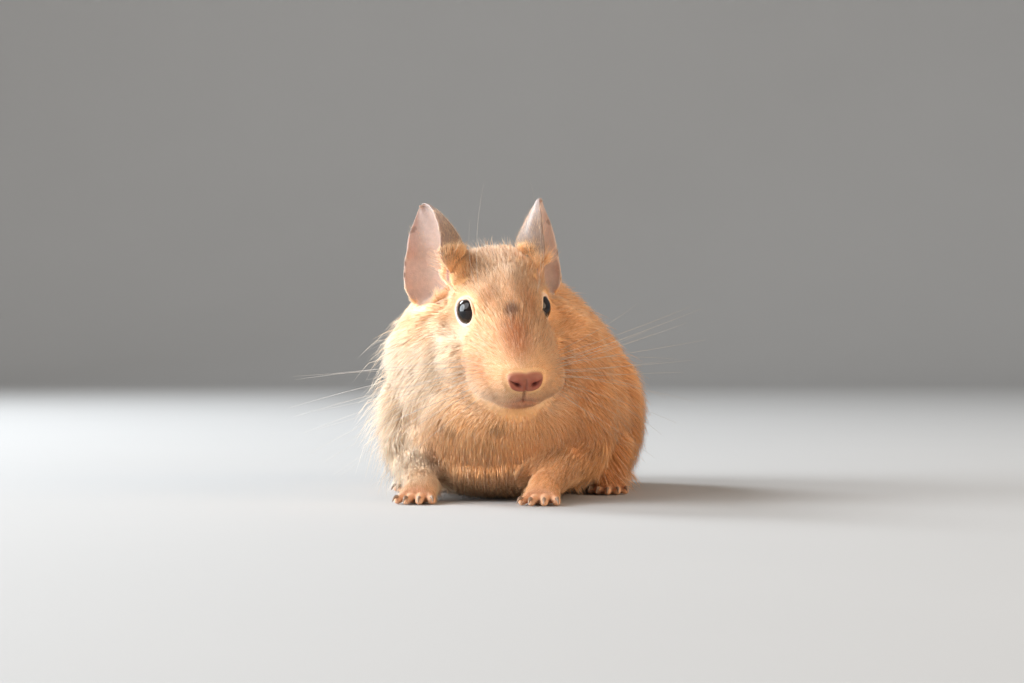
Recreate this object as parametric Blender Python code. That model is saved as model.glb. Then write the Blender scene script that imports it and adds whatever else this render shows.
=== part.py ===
"""A sand-coloured degu, life size, crouched on the floor with its head turned a little to its left.

The animal faces -Y, +X is its left side and +Z is up. The origin is the middle of the flat of its belly, on
the floor. Lengths in the tables of stations below are millimetres; MM turns them into metres.
"""

import math

import bpy
import bmesh
from mathutils import Matrix, Vector
import numpy as np

MM = 0.001
GAP = 0.3  # clearance that touching pieces keep
FLOOR_REACH = 300.0  # how far the block that trims the underside reaches

# The trunk points along -Y but is turned so that the rump lies towards +X; the head is turned back the
# other way.
BODY_TURN = math.radians(10)
HEAD_CENTRE = Vector((-1.6, -36.0, 47.7))  # midway between the two eyes
HEAD_TURN = math.radians(14)
HEAD_NOD = math.radians(30)
HEAD_ROLL = math.radians(3)

SKIN_VOXEL = 0.75
SMOOTH_PASSES = 9

# Trunk: distance behind the origin, half width, height of the widest level, top, bottom, and how square the
# upper half is (1 is a roof, 2 an ellipse).
TRUNK = (
    (-43, 9, 17, 23, 11, 1.7),
    (-39.5, 16, 17, 31, 5, 1.6),
    (-31, 23, 18, 42, 0.8, 1.5),
    (-17, 28.5, 20, 53, -0.6, 1.45),
    (0, 30.5, 21, 59.5, -0.7, 1.42),
    (16, 31.5, 22, 62, -0.7, 1.42),
    (32, 31.5, 23, 60, -0.6, 1.45),
    (46, 28, 23, 52, 0.5, 1.55),
    (56, 20.5, 22, 41, 5, 1.7),
    (62, 9, 21, 29, 13, 1.8),
)
BELLY_POWER = 2.2

# Head: distance ahead of the eyes, then the same five measures, in the head's own frame.
HEAD = (
    (-23, 12.5, -6, 5.5, -16, 2.0),
    (-17, 16.0, -7, 10.4, -20.0, 2.1),
    (-10, 16.8, -8, 11.6, -21.2, 2.0),
    (-4, 15.6, -9.5, 11.2, -21.0, 1.65),
    (1, 14.4, -10, 10.0, -20.2, 1.5),
    (6, 13.4, -10, 8.2, -19.4, 1.55),
    (11, 12.2, -9.5, 6.0, -18.4, 1.7),
    (15.5, 11.0, -9, 3.6, -17.6, 1.85),
    (19.3, 9.7, -8.5, 1.4, -16.6, 2.0),
    (22.3, 8.2, -8.0, -1.1, -15.2, 2.1),
    (24.6, 5.9, -7.2, -3.2, -12.2, 2.0),
    (25.5, 3.0, -6.7, -4.8, -9.2, 2.0),
)
JAW_POWER = 2.2

# Forelegs in the trunk's frame: shoulder mass, then elbow to wrist.
SHOULDER = ((22.0, -20.0, 21.0), (9.0, 13.0, 17.0))
ELBOW = (21.5, -24.0, 12.0)
WRIST = (15.5, -41.0, 4.6)
FOREARM_RADII = (7.0, 3.9)
FOREPAW_HALF_WIDTH = 4.0
FINGER_LENGTHS = (5.0, 6.6, 6.6, 5.2)

# Hind legs in the trunk's frame: the folded thigh over a long flat foot.
THIGH = ((23.0, 21.0, 19.5), (9.6, 21.5, 18.5))
KNEE = ((24.4, 1.0, 12.0), (7.5, 9.0, 10.5))
HEEL = (24.0, 21.0)
HIND_FOOT_LENGTH = 29.0
HIND_FOOT_HALF_WIDTH = 4.2
HIND_FOOT_SPLAY = math.radians(5)
TOE_LENGTHS = (5.6, 7.8, 8.6, 7.8, 5.2)

CLAW_LENGTH = 2.6

# Eyes in the head's frame.
EYE_SIDE, EYE_AHEAD, EYE_UP = 11.5, 0.0, 0.0  # where the cornea stands
EYE_LOOKS_ASIDE = math.radians(63)
EYE_LOOKS_UP = math.radians(9)
EYEBALL_RADIUS = 4.3
LID_OPENING = 3.25
LID_THICKNESS = 0.62

# Ears in the head's frame. Each station is: distance up the ear, how far the middle stands outward and
# forward of the ear's axis, radius of the cup, and the angles its rear and front rims reach from the
# middle of its back.
EAR_ROOT = Vector((12.2, -13.0, 3.0))
EAR_TIP = Vector((14.6, -26.0, 16.5))
EAR_LOOKS = Vector((0.934, 0.315, 0.17))
EAR_THICKNESS = 0.9
EAR_STATIONS = (
    (-6.5, 1.4, -2.6, 3.6, -90, 90),
    (-4.0, 2.4, -2.4, 5.4, -100, 100),
    (-1, 3.8, -1.7, 8.0, -110, 104),
    (3, 4.6, -0.8, 9.4, -106, 98),
    (7, 4.8, 0.0, 9.8, -97, 92),
    (11, 5.2, 0.3, 8.9, -88, 83),
    (14.5, 5.0, 0.3, 7.2, -79, 75),
    (17.3, 4.1, 0.2, 4.9, -70, 66),
    (19.2, 3.1, 0.0, 2.8, -60, 58),
    (19.9, 2.7, 0.0, 1.3, -50, 50),
)
# Furry floor of the cup, from deep in the head to its rounded top: distance up the ear, share of the
# cup's width.
EAR_PLUG = ((-6.5, 0.8), (-4.0, 1.0), (-1.0, 1.0), (1.4, 0.97), (3.2, 0.76), (4.2, 0.36))
EAR_CLEARED = ((-1.0, 1.0), (3.0, 1.0), (7.0, 1.0), (11.0, 1.0))  # no part of the crown stands in the cup
# How each ear is set: tilt about the head's long axis, turn about its own axis, shift aside.
EAR_SET = {-1: (math.radians(5), 0.0, 0.0), 1: (math.radians(-2), math.radians(10), -2.8)}

# Nose, nostrils and mouth in the head's frame.
NOSE_UP = -6.3
NOSE_HALF_WIDTH, NOSE_HALF_HEIGHT = 4.1, 2.3
NOSTRIL_SIDE, NOSTRIL_RADIUS = 1.9, 0.85
MOUTH_LEVEL, MOUTH_REACH = -12.4, 7.2

# Tail: along the floor behind the rump, with a brush of bristles on its last third.
TAIL_ROOT = (0.0, 55.0, 11.5)  # in the trunk's frame
TAIL_LENGTH = 112.0
TAIL_ROOT_RADIUS, TAIL_END_RADIUS = 4.4, 1.7
TAIL_HEADING, TAIL_CURL = math.radians(4), math.radians(-64)
TAIL_CUTS = (38.0, 76.0)
BRUSH_LOCKS_ROUND = 6
BRUSH_ROWS = 4
BRUSH_LOCK_LENGTH = 15.0

WHISKER_ROWS, WHISKERS_IN_ROW = 3, 3
WHISKER_ROOT_RADIUS = 0.27

COLOURS = {
    "coat": (0.80, 0.52, 0.27),
    "ear_skin": (0.70, 0.45, 0.35),
    "eye": (0.010, 0.008, 0.008),
    "foot": (0.74, 0.50, 0.38),
    "tail": (0.56, 0.36, 0.20),
    "tail_brush": (0.16, 0.10, 0.07),
}


def clear_scene():
    for old in list(bpy.data.objects):
        bpy.data.objects.remove(old, do_unlink=True)


def trunk_frame():
    """Maps trunk coordinates (aside, behind, up) to the world."""
    return Matrix.Rotation(-BODY_TURN, 4, "Z")


def head_frame():
    """Maps head coordinates (aside to its left, ahead, up) to the world."""
    ahead = Vector(
        (
            math.sin(HEAD_TURN) * math.cos(HEAD_NOD),
            -math.cos(HEAD_TURN) * math.cos(HEAD_NOD),
            -math.sin(HEAD_NOD),
        )
    )
    aside = Vector((math.cos(HEAD_TURN), math.sin(HEAD_TURN), 0.0))
    up = ahead.cross(aside)
    turn = Matrix((aside, ahead, up)).transposed().to_4x4()
    roll = Matrix.Rotation(HEAD_ROLL, 4, ahead)
    return Matrix.Translation(HEAD_CENTRE) @ roll @ turn


def finish_material(name):
    """A plain shader with the part's colour."""
    material = bpy.data.materials.get(name) or bpy.data.materials.new(name)
    material.use_nodes = True
    shader = material.node_tree.nodes["Principled BSDF"]
    shader.inputs["Base Color"].default_value = (*COLOURS[name], 1.0)
    shader.inputs["Roughness"].default_value = 0.15 if name == "eye" else 0.8
    shader.inputs["Metallic"].default_value = 0.0
    return material


def object_from_bmesh(name, bm):
    mesh = bpy.data.meshes.new(name)
    bm.to_mesh(mesh)
    bm.free()
    obj = bpy.data.objects.new(name, mesh)
    bpy.context.scene.collection.objects.link(obj)
    return obj


def placed(obj, frame):
    """Moves the points of obj by frame, and keeps its faces outward when frame mirrors."""
    obj.data.transform(frame)
    if frame.determinant() < 0:
        obj.data.flip_normals()
    return obj


def settle(obj):
    """Applies the modifiers of obj."""
    bpy.context.view_layer.update()
    graph = bpy.context.evaluated_depsgraph_get()
    done = bpy.data.meshes.new_from_object(obj.evaluated_get(graph))
    obj.modifiers.clear()
    obj.data = done
    return obj


def ellipsoid(name, centre, semi, segments=28, rings=18):
    bm = bmesh.new()
    bmesh.ops.create_uvsphere(bm, u_segments=segments, v_segments=rings, radius=1.0)
    bmesh.ops.scale(bm, vec=semi, verts=bm.verts)
    bmesh.ops.translate(bm, vec=centre, verts=bm.verts)
    return object_from_bmesh(name, bm)


def loft(name, rings):
    """A closed skin through rings of points that run the same way round, fanned shut at both ends."""
    bm = bmesh.new()
    loops = [[bm.verts.new(point) for point in ring] for ring in rings]
    count = len(rings[0])
    for lower, upper in zip(loops, loops[1:]):
        for i in range(count):
            j = (i + 1) % count
            bm.faces.new((lower[i], lower[j], upper[j], upper[i]))
    for loop, turned in ((loops[0], True), (loops[-1], False)):
        hub = bm.verts.new(sum((v.co for v in loop), Vector()) / count)
        for i in range(count):
            j = (i + 1) % count
            bm.faces.new((loop[j], loop[i], hub) if turned else (loop[i], loop[j], hub))
    bmesh.ops.recalc_face_normals(bm, faces=bm.faces)
    return object_from_bmesh(name, bm)


def eased(table, steps=4):
    """More stations between those of a table, on a smooth curve through them."""
    rows = [np.array(row, dtype=float) for row in table]
    result = []
    for i in range(len(rows) - 1):
        before, start = rows[max(i - 1, 0)], rows[i]
        end, after = rows[i + 1], rows[min(i + 2, len(rows) - 1)]
        for step in range(steps):
            t = step / steps
            curve = 2 * start + (end - before) * t + (2 * before - 5 * start + 4 * end - after) * t**2
            result.append(0.5 * (curve + (3 * start - before - 3 * end + after) * t**3))
    return result + [rows[-1]]


def oval(station, lower_power, sides=40):
    """A ring across the long axis: half width, then its own rise above and fall below the widest level."""
    along, half_width, widest, top, bottom, crown_power = (float(value) for value in station)
    ring = []
    for i in range(sides):
        angle = math.tau * i / sides
        across, rise = math.cos(angle), math.sin(angle)
        power = crown_power if rise > 0 else lower_power
        reach = (top - widest) if rise > 0 else (widest - bottom)
        ring.append(
            Vector(
                (
                    half_width * math.copysign(abs(across) ** (2 / power), across),
                    along,
                    widest + reach * math.copysign(abs(rise) ** (2 / power), rise),
                )
            )
        )
    return ring


def tube(name, points, radii, sides=8, flat=1.0):
    """A tapered limb through points. Each ring stands across its line, and flat thins it upwards."""
    points = [Vector(p) for p in points]
    rings = []
    for i, (centre, radius) in enumerate(zip(points, radii)):
        along = (points[min(i + 1, len(points) - 1)] - points[max(i - 1, 0)]).normalized()
        across = along.cross(Vector((0, 0, 1))).normalized()
        lift = across.cross(along)
        rings.append(
            [
                centre
                + across * (radius * math.cos(math.tau * k / sides))
                + lift * (radius * flat * math.sin(math.tau * k / sides))
                for k in range(sides)
            ]
        )
    return loft(name, rings)


def prism(name, outline, low, high):
    """An outline of (behind, up) points in the side view, run across from low to high."""
    rings = [[Vector((x, y, z)) for y, z in outline] for x in (low, high)]
    return loft(name, rings)


def ellipse_outline(centre, semi, grow=0.0, sides=24):
    return [
        (
            centre[0] + (semi[0] + grow) * math.cos(math.tau * i / sides),
            centre[1] + (semi[1] + grow) * math.sin(math.tau * i / sides),
        )
        for i in range(sides)
    ]


def boolean(obj, other, operation, solver="EXACT"):
    modifier = obj.modifiers.new(operation.title(), "BOOLEAN")
    modifier.operation = operation
    modifier.solver = solver
    modifier.object = other
    return settle(obj)


def dropped(*objects):
    for obj in objects:
        bpy.data.objects.remove(obj, do_unlink=True)


def copied(obj, name):
    twin = bpy.data.objects.new(name, obj.data.copy())
    bpy.context.scene.collection.objects.link(twin)
    return twin


def fused(name, base, pieces):
    """One Boolean union of base with every piece."""
    group = bpy.data.collections.new(name + "_pieces")
    bpy.context.scene.collection.children.link(group)
    for piece in pieces:
        bpy.context.scene.collection.objects.unlink(piece)
        group.objects.link(piece)
    modifier = base.modifiers.new("Union", "BOOLEAN")
    modifier.operation = "UNION"
    modifier.operand_type = "COLLECTION"
    modifier.solver = "EXACT"
    modifier.collection = group
    settle(base)
    dropped(*pieces)
    bpy.data.collections.remove(group)
    base.name = name
    return largest_surface(base)


def largest_surface(obj):
    """Keeps the closed surface that holds the most volume."""
    bm = bmesh.new()
    bm.from_mesh(obj.data)
    unseen, groups = set(bm.verts), []
    while unseen:
        stack, group = [unseen.pop()], []
        while stack:
            vert = stack.pop()
            group.append(vert)
            for edge in vert.link_edges:
                other = edge.other_vert(vert)
                if other in unseen:
                    unseen.remove(other)
                    stack.append(other)
        groups.append(group)
    if len(groups) > 1:
        groups.sort(key=lambda g: volume_within({f for v in g for f in v.link_faces}))
        loose = [v for group in groups[:-1] for v in group]
        bmesh.ops.delete(bm, geom=loose, context="VERTS")
    bm.to_mesh(obj.data)
    bm.free()
    return obj


def volume_within(faces):
    total = 0.0
    for face in faces:
        corners = [v.co for v in face.verts]
        for a, b in zip(corners[1:], corners[2:]):
            total += corners[0].dot(a.cross(b)) / 6
    return total


def reduced(obj, triangles, spared=None):
    """Fewer triangles, where the form allows. spared tells how much finer each point stays, 0 to 1."""
    obj.data.calc_loop_triangles()
    count = len(obj.data.loop_triangles)
    if count > triangles:
        modifier = obj.modifiers.new("Decimate", "DECIMATE")
        modifier.ratio = triangles / count
        modifier.use_collapse_triangulate = True
        if spared is not None:
            group = obj.vertex_groups.new(name="reduce")
            for vertex in obj.data.vertices:
                group.add([vertex.index], 1.0 - spared(vertex.co), "REPLACE")
            modifier.vertex_group = group.name
            modifier.vertex_group_factor = 1.0
        settle(obj)
        obj.vertex_groups.clear()
    return obj


def face_share(point):
    """1 on the muzzle and lips, falling off behind them."""
    local = head_frame().inverted() @ point
    return min(1.0, max(0.0, (local.y - 9.0) / 9.0)) * 0.8


def taken_out(whole, region, grown_region, name):
    """Parts name from whole: it is what lies in region, and grown_region, a gap larger, leaves whole."""
    piece = boolean(copied(whole, name), region, "INTERSECT")
    boolean(whole, grown_region, "DIFFERENCE")
    dropped(region, grown_region)
    largest_surface(whole)
    return largest_surface(piece)


def blended_body():
    """Trunk, limbs, neck and head run together under one smooth coat."""
    trunk = placed(loft("trunk", [oval(station, BELLY_POWER) for station in eased(TRUNK)]), trunk_frame())
    head = placed(loft("head_form", [oval(station, JAW_POWER) for station in eased(HEAD)]), head_frame())
    forms = [trunk, head]
    for side in (-1, 1):
        for (x, y, z), semi in (SHOULDER, THIGH, KNEE):
            forms.append(placed(ellipsoid("mass", (side * x, y, z), semi), trunk_frame()))
        elbow, wrist = Vector(ELBOW), Vector(WRIST)
        line = [elbow.lerp(wrist, step / 4) for step in range(-1, 5)]
        thick, thin = FOREARM_RADII
        radii = [thick + (thin - thick) * max(step, 0) / 4 for step in range(-1, 5)]
        points = [Vector((side * p.x, p.y, p.z)) for p in line]
        forms.append(placed(tube("forearm", points, radii, sides=16), trunk_frame()))
        cheek = ellipsoid("cheek", (side * 10.0, -1.0, -12.0), (8.4, 12.5, 8.6))
        pad = ellipsoid("whisker_pad", (side * 5.5, 17.6, -9.7), (5.0, 6.4, 5.0))
        ear_root = ellipsoid("ear_root", (side * 9.6, -14.0, 5.6), (5.4, 6.0, 6.4))
        forms += [placed(form, head_frame()) for form in (cheek, pad, ear_root)]
    forms.append(ellipsoid("neck", (-5.5, -20.0, 35.5), (26.8, 20.0, 22.5)))
    forms.append(ellipsoid("nape_side", (8.5, -21.0, 31.5), (17.0, 17.0, 20.0)))
    forms.append(ellipsoid("throat", (-3.0, -34.0, 25.0), (21.0, 13.0, 11.0)))
    forms.append(placed(ellipsoid("chin", (0, 17.0, -14.0), (5.4, 5.2, 4.0)), head_frame()))
    bm = bmesh.new()
    for form in forms:
        bm.from_mesh(form.data)
    dropped(*forms)
    body = object_from_bmesh("body", bm)
    merge = body.modifiers.new("Merge", "REMESH")
    merge.mode = "VOXEL"
    merge.voxel_size = SKIN_VOXEL
    ease = body.modifiers.new("Ease", "SMOOTH")
    ease.factor = 0.5
    ease.iterations = SMOOTH_PASSES
    return settle(body)


def eye_axis(side):
    """The way an eye looks, in the head's frame."""
    flat = math.cos(EYE_LOOKS_UP)
    return Vector(
        (
            side * math.sin(EYE_LOOKS_ASIDE) * flat,
            math.cos(EYE_LOOKS_ASIDE) * flat,
            math.sin(EYE_LOOKS_UP),
        )
    )


def bump(distance, width):
    """A soft hump of height 1 that fades over width."""
    return np.exp(-((distance / width) ** 2))


def sculpt_face(body):
    """Presses the eye sockets, lids, nose, nostrils and mouth into the head of the smooth body."""
    mesh = body.data
    flat = np.empty(len(mesh.vertices) * 3)
    mesh.vertices.foreach_get("co", flat)
    frame = np.array(head_frame())
    points = (flat.reshape(-1, 3) - frame[:3, 3]) @ frame[:3, :3]
    for side in (-1, 1):
        axis = np.array(eye_axis(side))
        cornea = np.array((side * EYE_SIDE, EYE_AHEAD, EYE_UP))
        offset = points - cornea
        height = offset @ axis
        spread = np.linalg.norm(offset - np.outer(height, axis), axis=1)
        near = (np.abs(height) < 9) & (points[:, 0] * side > 0)
        sunk = -(EYEBALL_RADIUS - math.sqrt(EYEBALL_RADIUS**2 - LID_OPENING**2))
        ramp = np.clip((7.5 - spread) / 3.6, 0, 1)
        pull = ramp * ramp * (3 - 2 * ramp) * near
        points += np.outer(pull * (sunk - height), axis)
        brow = bump(np.linalg.norm(points - (side * 8.6, 2.0, 7.0), axis=1), 3.6)
        points += np.outer(0.7 * brow, (side * 0.5, 0.2, 0.8))
    ahead = points[:, 1] > 15
    across, rise = points[:, 0], points[:, 2] - NOSE_UP
    pad = ((np.abs(across) / NOSE_HALF_WIDTH) ** 2.4 + (np.abs(rise) / NOSE_HALF_HEIGHT) ** 2.4) < 1
    points[:, 1] += 0.55 * (pad & (points[:, 1] > 21))
    for side in (-1, 1):
        reach = np.hypot(across - side * NOSTRIL_SIDE, (rise + 0.2) * 1.15)
        points[:, 1] -= 1.5 * bump(reach, NOSTRIL_RADIUS) * (points[:, 1] > 21)
    cleft = bump(across, 0.55) * (rise < -0.4) * (points[:, 2] > MOUTH_LEVEL) * (points[:, 1] > 20)
    points[:, 1] -= 0.8 * cleft
    lip = MOUTH_LEVEL + 1.1 * np.cos(points[:, 0] / MOUTH_REACH * math.pi / 2)
    in_mouth = ahead & (np.abs(points[:, 0]) < MOUTH_REACH) & (points[:, 1] > 13)
    outward = np.stack([points[:, 0] * 0.55, points[:, 1] - 14.0, 0 * across], axis=1)
    outward /= np.maximum(np.linalg.norm(outward, axis=1), 1e-6)[:, None]
    groove = bump(points[:, 2] - lip, 0.6) * in_mouth
    lips = (bump(points[:, 2] - lip - 1.3, 0.8) + bump(points[:, 2] - lip + 1.3, 0.8)) * in_mouth
    points += outward * (0.35 * lips - 1.1 * groove)[:, None]
    mesh.vertices.foreach_set("co", (points @ frame[:3, :3].T + frame[:3, 3]).ravel())
    mesh.update()
    return body


def floor_block(name="floor_block"):
    bm = bmesh.new()
    bmesh.ops.create_cube(bm, size=1.0)
    bmesh.ops.scale(bm, vec=(FLOOR_REACH, FLOOR_REACH, 40.0), verts=bm.verts)
    bmesh.ops.translate(bm, vec=(0, 0, -20.0), verts=bm.verts)
    return object_from_bmesh(name, bm)


def on_floor(obj):
    """Trims obj flat at floor level."""
    block = floor_block()
    boolean(obj, block, "DIFFERENCE")
    dropped(block)
    return largest_surface(obj)


def pressed_flat(obj):
    """Lays the underside of a thin piece flat on the floor."""
    for vertex in obj.data.vertices:
        vertex.co.z = max(vertex.co.z, 0.0)
    return obj


def head_outline(grow):
    """Side view of the head's share of the body, in (ahead, up) of the head's frame turned upright."""
    back = -19.0 - grow
    return [
        (back, 60.0),
        (60.0, 60.0),
        (60.0, -22.0 - grow),
        (15.0, -24.5 - grow),
        (back, -19.5 - grow),
    ]


def head_region(name, grow=0.0):
    return placed(prism(name, head_outline(grow), -60.0, 60.0), head_frame())


def neck_region(name, grow=0.0):
    """A wedge across the nape and throat, between the head and the shoulders, in the trunk's frame."""
    outline = [
        (-60.0, 21.5 - grow),
        (-27.0, 22.5 - grow),
        (-6.0 + grow, 34.0 - grow),
        (-2.0 + grow, 90.0),
        (-60.0, 90.0),
    ]
    return placed(prism(name, outline, -60.0, 60.0), trunk_frame())


def foreleg_region(name, side, grow=0.0):
    outline = [
        (-60.0, -10.0),
        (-11.0 + grow, -10.0),
        (-9.0 + grow, 24.0),
        (-18.0, 31.5 + grow),
        (-60.0, 31.5 + grow),
    ]
    inner, outer = side * (8.5 - grow), side * 60.0
    return placed(prism(name, outline, min(inner, outer), max(inner, outer)), trunk_frame())


def thigh_region(name, side, grow=0.0):
    (_, y, z), (_, along, up) = THIGH
    inner, outer = side * (16.5 - grow), side * 60.0
    outline = ellipse_outline((y - 3.5, z - 1.5), (along + 4.5, up + 1.5), grow)
    return placed(prism(name, outline, min(inner, outer), max(inner, outer)), trunk_frame())


def digit(points, radius, sides=6):
    """A toe or finger, with a soft end, as a tapered tube."""
    shares = (1.0, 1.0, 0.95, 0.6)
    return tube("digit", points, [radius * share for share in shares], sides=sides)


def claw(root, heading, droop):
    """A short curved claw that leaves root along heading."""
    points = [
        root - heading * 0.8,
        root + heading * (CLAW_LENGTH * 0.45),
        root + heading * CLAW_LENGTH + Vector((0, 0, -droop)),
    ]
    return tube("claw", points, (0.62, 0.5, 0.14), sides=4)


def foot_bmesh(name, rings, toes, radius):
    """A foot from its own loft, toes spread from its front, claws at their ends; it stands on the floor."""
    sole = loft(name, rings)
    pieces = []
    for root, heading, length in toes:
        steps = ((-0.25, 0.5), (0.25, 0.7), (0.75, 0.3), (1.0, 0.1))
        line = [root + heading * (length * share) + Vector((0, 0, radius * lift)) for share, lift in steps]
        pieces.append(digit(line, radius))
        pieces.append(claw(line[-1] - heading * 0.3, heading, 0.55))
    return fused(name, sole, pieces)


def fore_paw(name, side):
    """A small hand with four fingers, flat on the floor in front of the wrist."""
    wrist = Vector((side * WRIST[0], WRIST[1], WRIST[2]))
    half = FOREPAW_HALF_WIDTH
    back = WRIST[1] - GAP
    stations = (
        (0.0, 3.6, 4.3, 3.7),
        (2.0, 3.4, 3.3, 3.4),
        (4.2, half, 2.6, 2.7),
        (6.4, half * 0.95, 1.9, 2.1),
    )
    rings = []
    for ahead, half_width, middle, half_height in stations:
        rings.append(
            [
                Vector(
                    (
                        wrist.x + half_width * math.cos(math.tau * i / 14),
                        back - ahead,
                        middle + half_height * math.sin(math.tau * i / 14),
                    )
                )
                for i in range(14)
            ]
        )
    toes = []
    for i, length in enumerate(FINGER_LENGTHS):
        spread = (i - 1.5) / 1.5
        angle = spread * math.radians(19)
        root = Vector((wrist.x + spread * half * 0.72, back - 5.3 + 0.8 * abs(spread), 0.9))
        toes.append((root, Vector((math.sin(angle), -math.cos(angle), 0.0)), length))
    paw = placed(foot_bmesh(name, rings, toes, 1.15), trunk_frame())
    return on_floor(paw)


def hind_foot_rings(side, grow=0.0):
    """Rings of the long sole, heel first, in the trunk's frame."""
    half = HIND_FOOT_HALF_WIDTH
    stations = [
        (-1.2, 1.8, 2.8),
        (0.8, 3.4, 4.6),
        (6.0, 3.5, 4.4),
        (14.0, 3.7, 3.8),
        (20.0, half, 3.2),
        (23.0, half * 0.95, 2.5),
    ]
    if grow:  # room for the spread toes and their claws
        stations[3:] = [(13.0, 4.2, 4.1), (17.5, 5.4, 4.0), (24.0, 6.6, 3.8), (33.0, 7.4, 3.4)]
    heel = Vector((side * HEEL[0], HEEL[1], 0.0))
    heading = Vector((side * math.sin(HIND_FOOT_SPLAY), -math.cos(HIND_FOOT_SPLAY), 0.0))
    across = Vector((-heading.y, heading.x, 0.0))
    rings = []
    for ahead, half_width, height in stations:
        reach = ahead + grow * (1 if ahead > 5 else -1)
        rings.append(
            [
                heel
                + heading * reach
                + across * ((half_width + grow) * math.cos(math.tau * i / 14))
                + Vector((0, 0, height * 0.42 + (height * 0.58 + grow) * math.sin(math.tau * i / 14)))
                for i in range(14)
            ]
        )
    return rings


def hind_foot(name, side):
    """The long hind foot, sole down, with five toes."""
    heel = Vector((side * HEEL[0], HEEL[1], 0.0))
    toes = []
    for i, length in enumerate(TOE_LENGTHS):
        spread = (i - 2) / 2
        angle = side * HIND_FOOT_SPLAY + spread * math.radians(15)
        heading = Vector((math.sin(angle), -math.cos(angle), 0.0))
        foot_line = Vector((side * math.sin(HIND_FOOT_SPLAY), -math.cos(HIND_FOOT_SPLAY), 0.0))
        across = Vector((-foot_line.y, foot_line.x, 0.0))
        root = heel + foot_line * (HIND_FOOT_LENGTH - 7.6 - 1.6 * abs(spread)) + across * (spread * 3.3)
        root.z = 0.9
        toes.append((root, heading, length))
    return on_floor(placed(foot_bmesh(name, hind_foot_rings(side), toes, 1.2), trunk_frame()))


def eyeball(name, side, grow=0.0):
    """A ball whose cornea stands at the lids' opening."""
    axis = eye_axis(side)
    centre = Vector((side * EYE_SIDE, EYE_AHEAD, EYE_UP)) - axis * EYEBALL_RADIUS
    radius = EYEBALL_RADIUS + grow
    return placed(ellipsoid(name, centre, (radius, radius, radius), 18, 10), head_frame())


def lid_ring(side):
    """The raised rim of both lids, a little almond shaped, round the opening."""
    axis = eye_axis(side)
    centre = Vector((side * EYE_SIDE, EYE_AHEAD, EYE_UP)) - axis * EYEBALL_RADIUS
    level = Vector((-axis.y, axis.x, 0.0)).normalized() * side
    upward = axis.cross(level) * side
    lie = math.asin((LID_OPENING + 0.25) / (EYEBALL_RADIUS + 0.1))
    bm = bmesh.new()
    rings = []
    for i in range(22):
        turn = math.tau * i / 22
        spread = lie * (1.0 + 0.07 * math.cos(2 * turn))
        out = level * math.cos(turn) + upward * math.sin(turn)
        normal = axis * math.cos(spread) + out * math.sin(spread)
        slope = out * math.cos(spread) - axis * math.sin(spread)
        ring = []
        for k in range(6):
            round_it = math.tau * k / 6
            point = centre + normal * (EYEBALL_RADIUS + 0.15 + LID_THICKNESS * math.sin(round_it))
            ring.append(bm.verts.new(point + slope * (LID_THICKNESS * 1.25 * math.cos(round_it))))
        rings.append(ring)
    for i, ring in enumerate(rings):
        after = rings[(i + 1) % len(rings)]
        for k in range(6):
            j = (k + 1) % 6
            bm.faces.new((ring[k], ring[j], after[j], after[k]))
    bmesh.ops.recalc_face_normals(bm, faces=bm.faces)
    return placed(object_from_bmesh("lid", bm), head_frame())


def ear_axes(side):
    """The way up an ear, outward from its back, and to its front rim."""
    rise = (EAR_TIP - EAR_ROOT).normalized()
    look = (EAR_LOOKS - rise * EAR_LOOKS.dot(rise)).normalized()
    front = rise.cross(look)
    turn = EAR_SET[side][1]
    return (
        rise,
        look * math.cos(turn) - front * math.sin(turn),
        front * math.cos(turn) + look * math.sin(turn),
    )


def ear_setting(side):
    """Turns and shifts an ear from its mirror-symmetric place to the one it is held in."""
    tilt, _, shift = EAR_SET[side]
    root = Vector((side * EAR_ROOT.x, EAR_ROOT.y, EAR_ROOT.z))
    turned = Matrix.Rotation(-tilt, 4, "Y")
    there = Matrix.Translation(root + Vector((shift, 0, 0)))
    return head_frame() @ there @ turned @ Matrix.Translation(-root)


def ear_shell(side, grow=0.0, columns=13):
    """A thin cupped leaf, open outward; its rolled root runs down into the head."""
    rise, look, front = ear_axes(side)
    bm = bmesh.new()
    layers = []
    thickness = EAR_THICKNESS + 2 * grow
    stations = EAR_STATIONS
    for layer in (-0.5, 0.5):
        rows = []
        for number, (up, outward, forward, radius, rear, fore) in enumerate(stations):
            up += grow if number == len(stations) - 1 else 0.0
            more = math.degrees(grow / radius)
            row = []
            for c in range(columns + 1):
                angle = math.radians(rear - more + (fore - rear + 2 * more) * c / columns)
                reach = radius + thickness * layer
                point = EAR_ROOT + rise * up + front * (forward + reach * math.sin(angle))
                point += look * (outward - reach * math.cos(angle))
                row.append(bm.verts.new((side * point.x, point.y, point.z)))
            rows.append(row)
        layers.append(rows)
    inner, outer = layers
    quads = []
    for rows in layers:
        for low, high in zip(rows, rows[1:]):
            quads += [(low[c], low[c + 1], high[c + 1], high[c]) for c in range(columns)]
    for c in (0, columns):
        for low, high in zip(range(len(stations)), range(1, len(stations))):
            quads.append((inner[low][c], outer[low][c], outer[high][c], inner[high][c]))
    for row in (0, -1):
        for c in range(columns):
            quads.append((inner[row][c], inner[row][c + 1], outer[row][c + 1], outer[row][c]))
    for quad in quads:
        bm.faces.new(quad)
    bmesh.ops.triangulate(bm, faces=bm.faces)
    bmesh.ops.recalc_face_normals(bm, faces=bm.faces)
    shell = object_from_bmesh("ear_shell", bm)
    return placed(shell, ear_setting(side))


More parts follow.
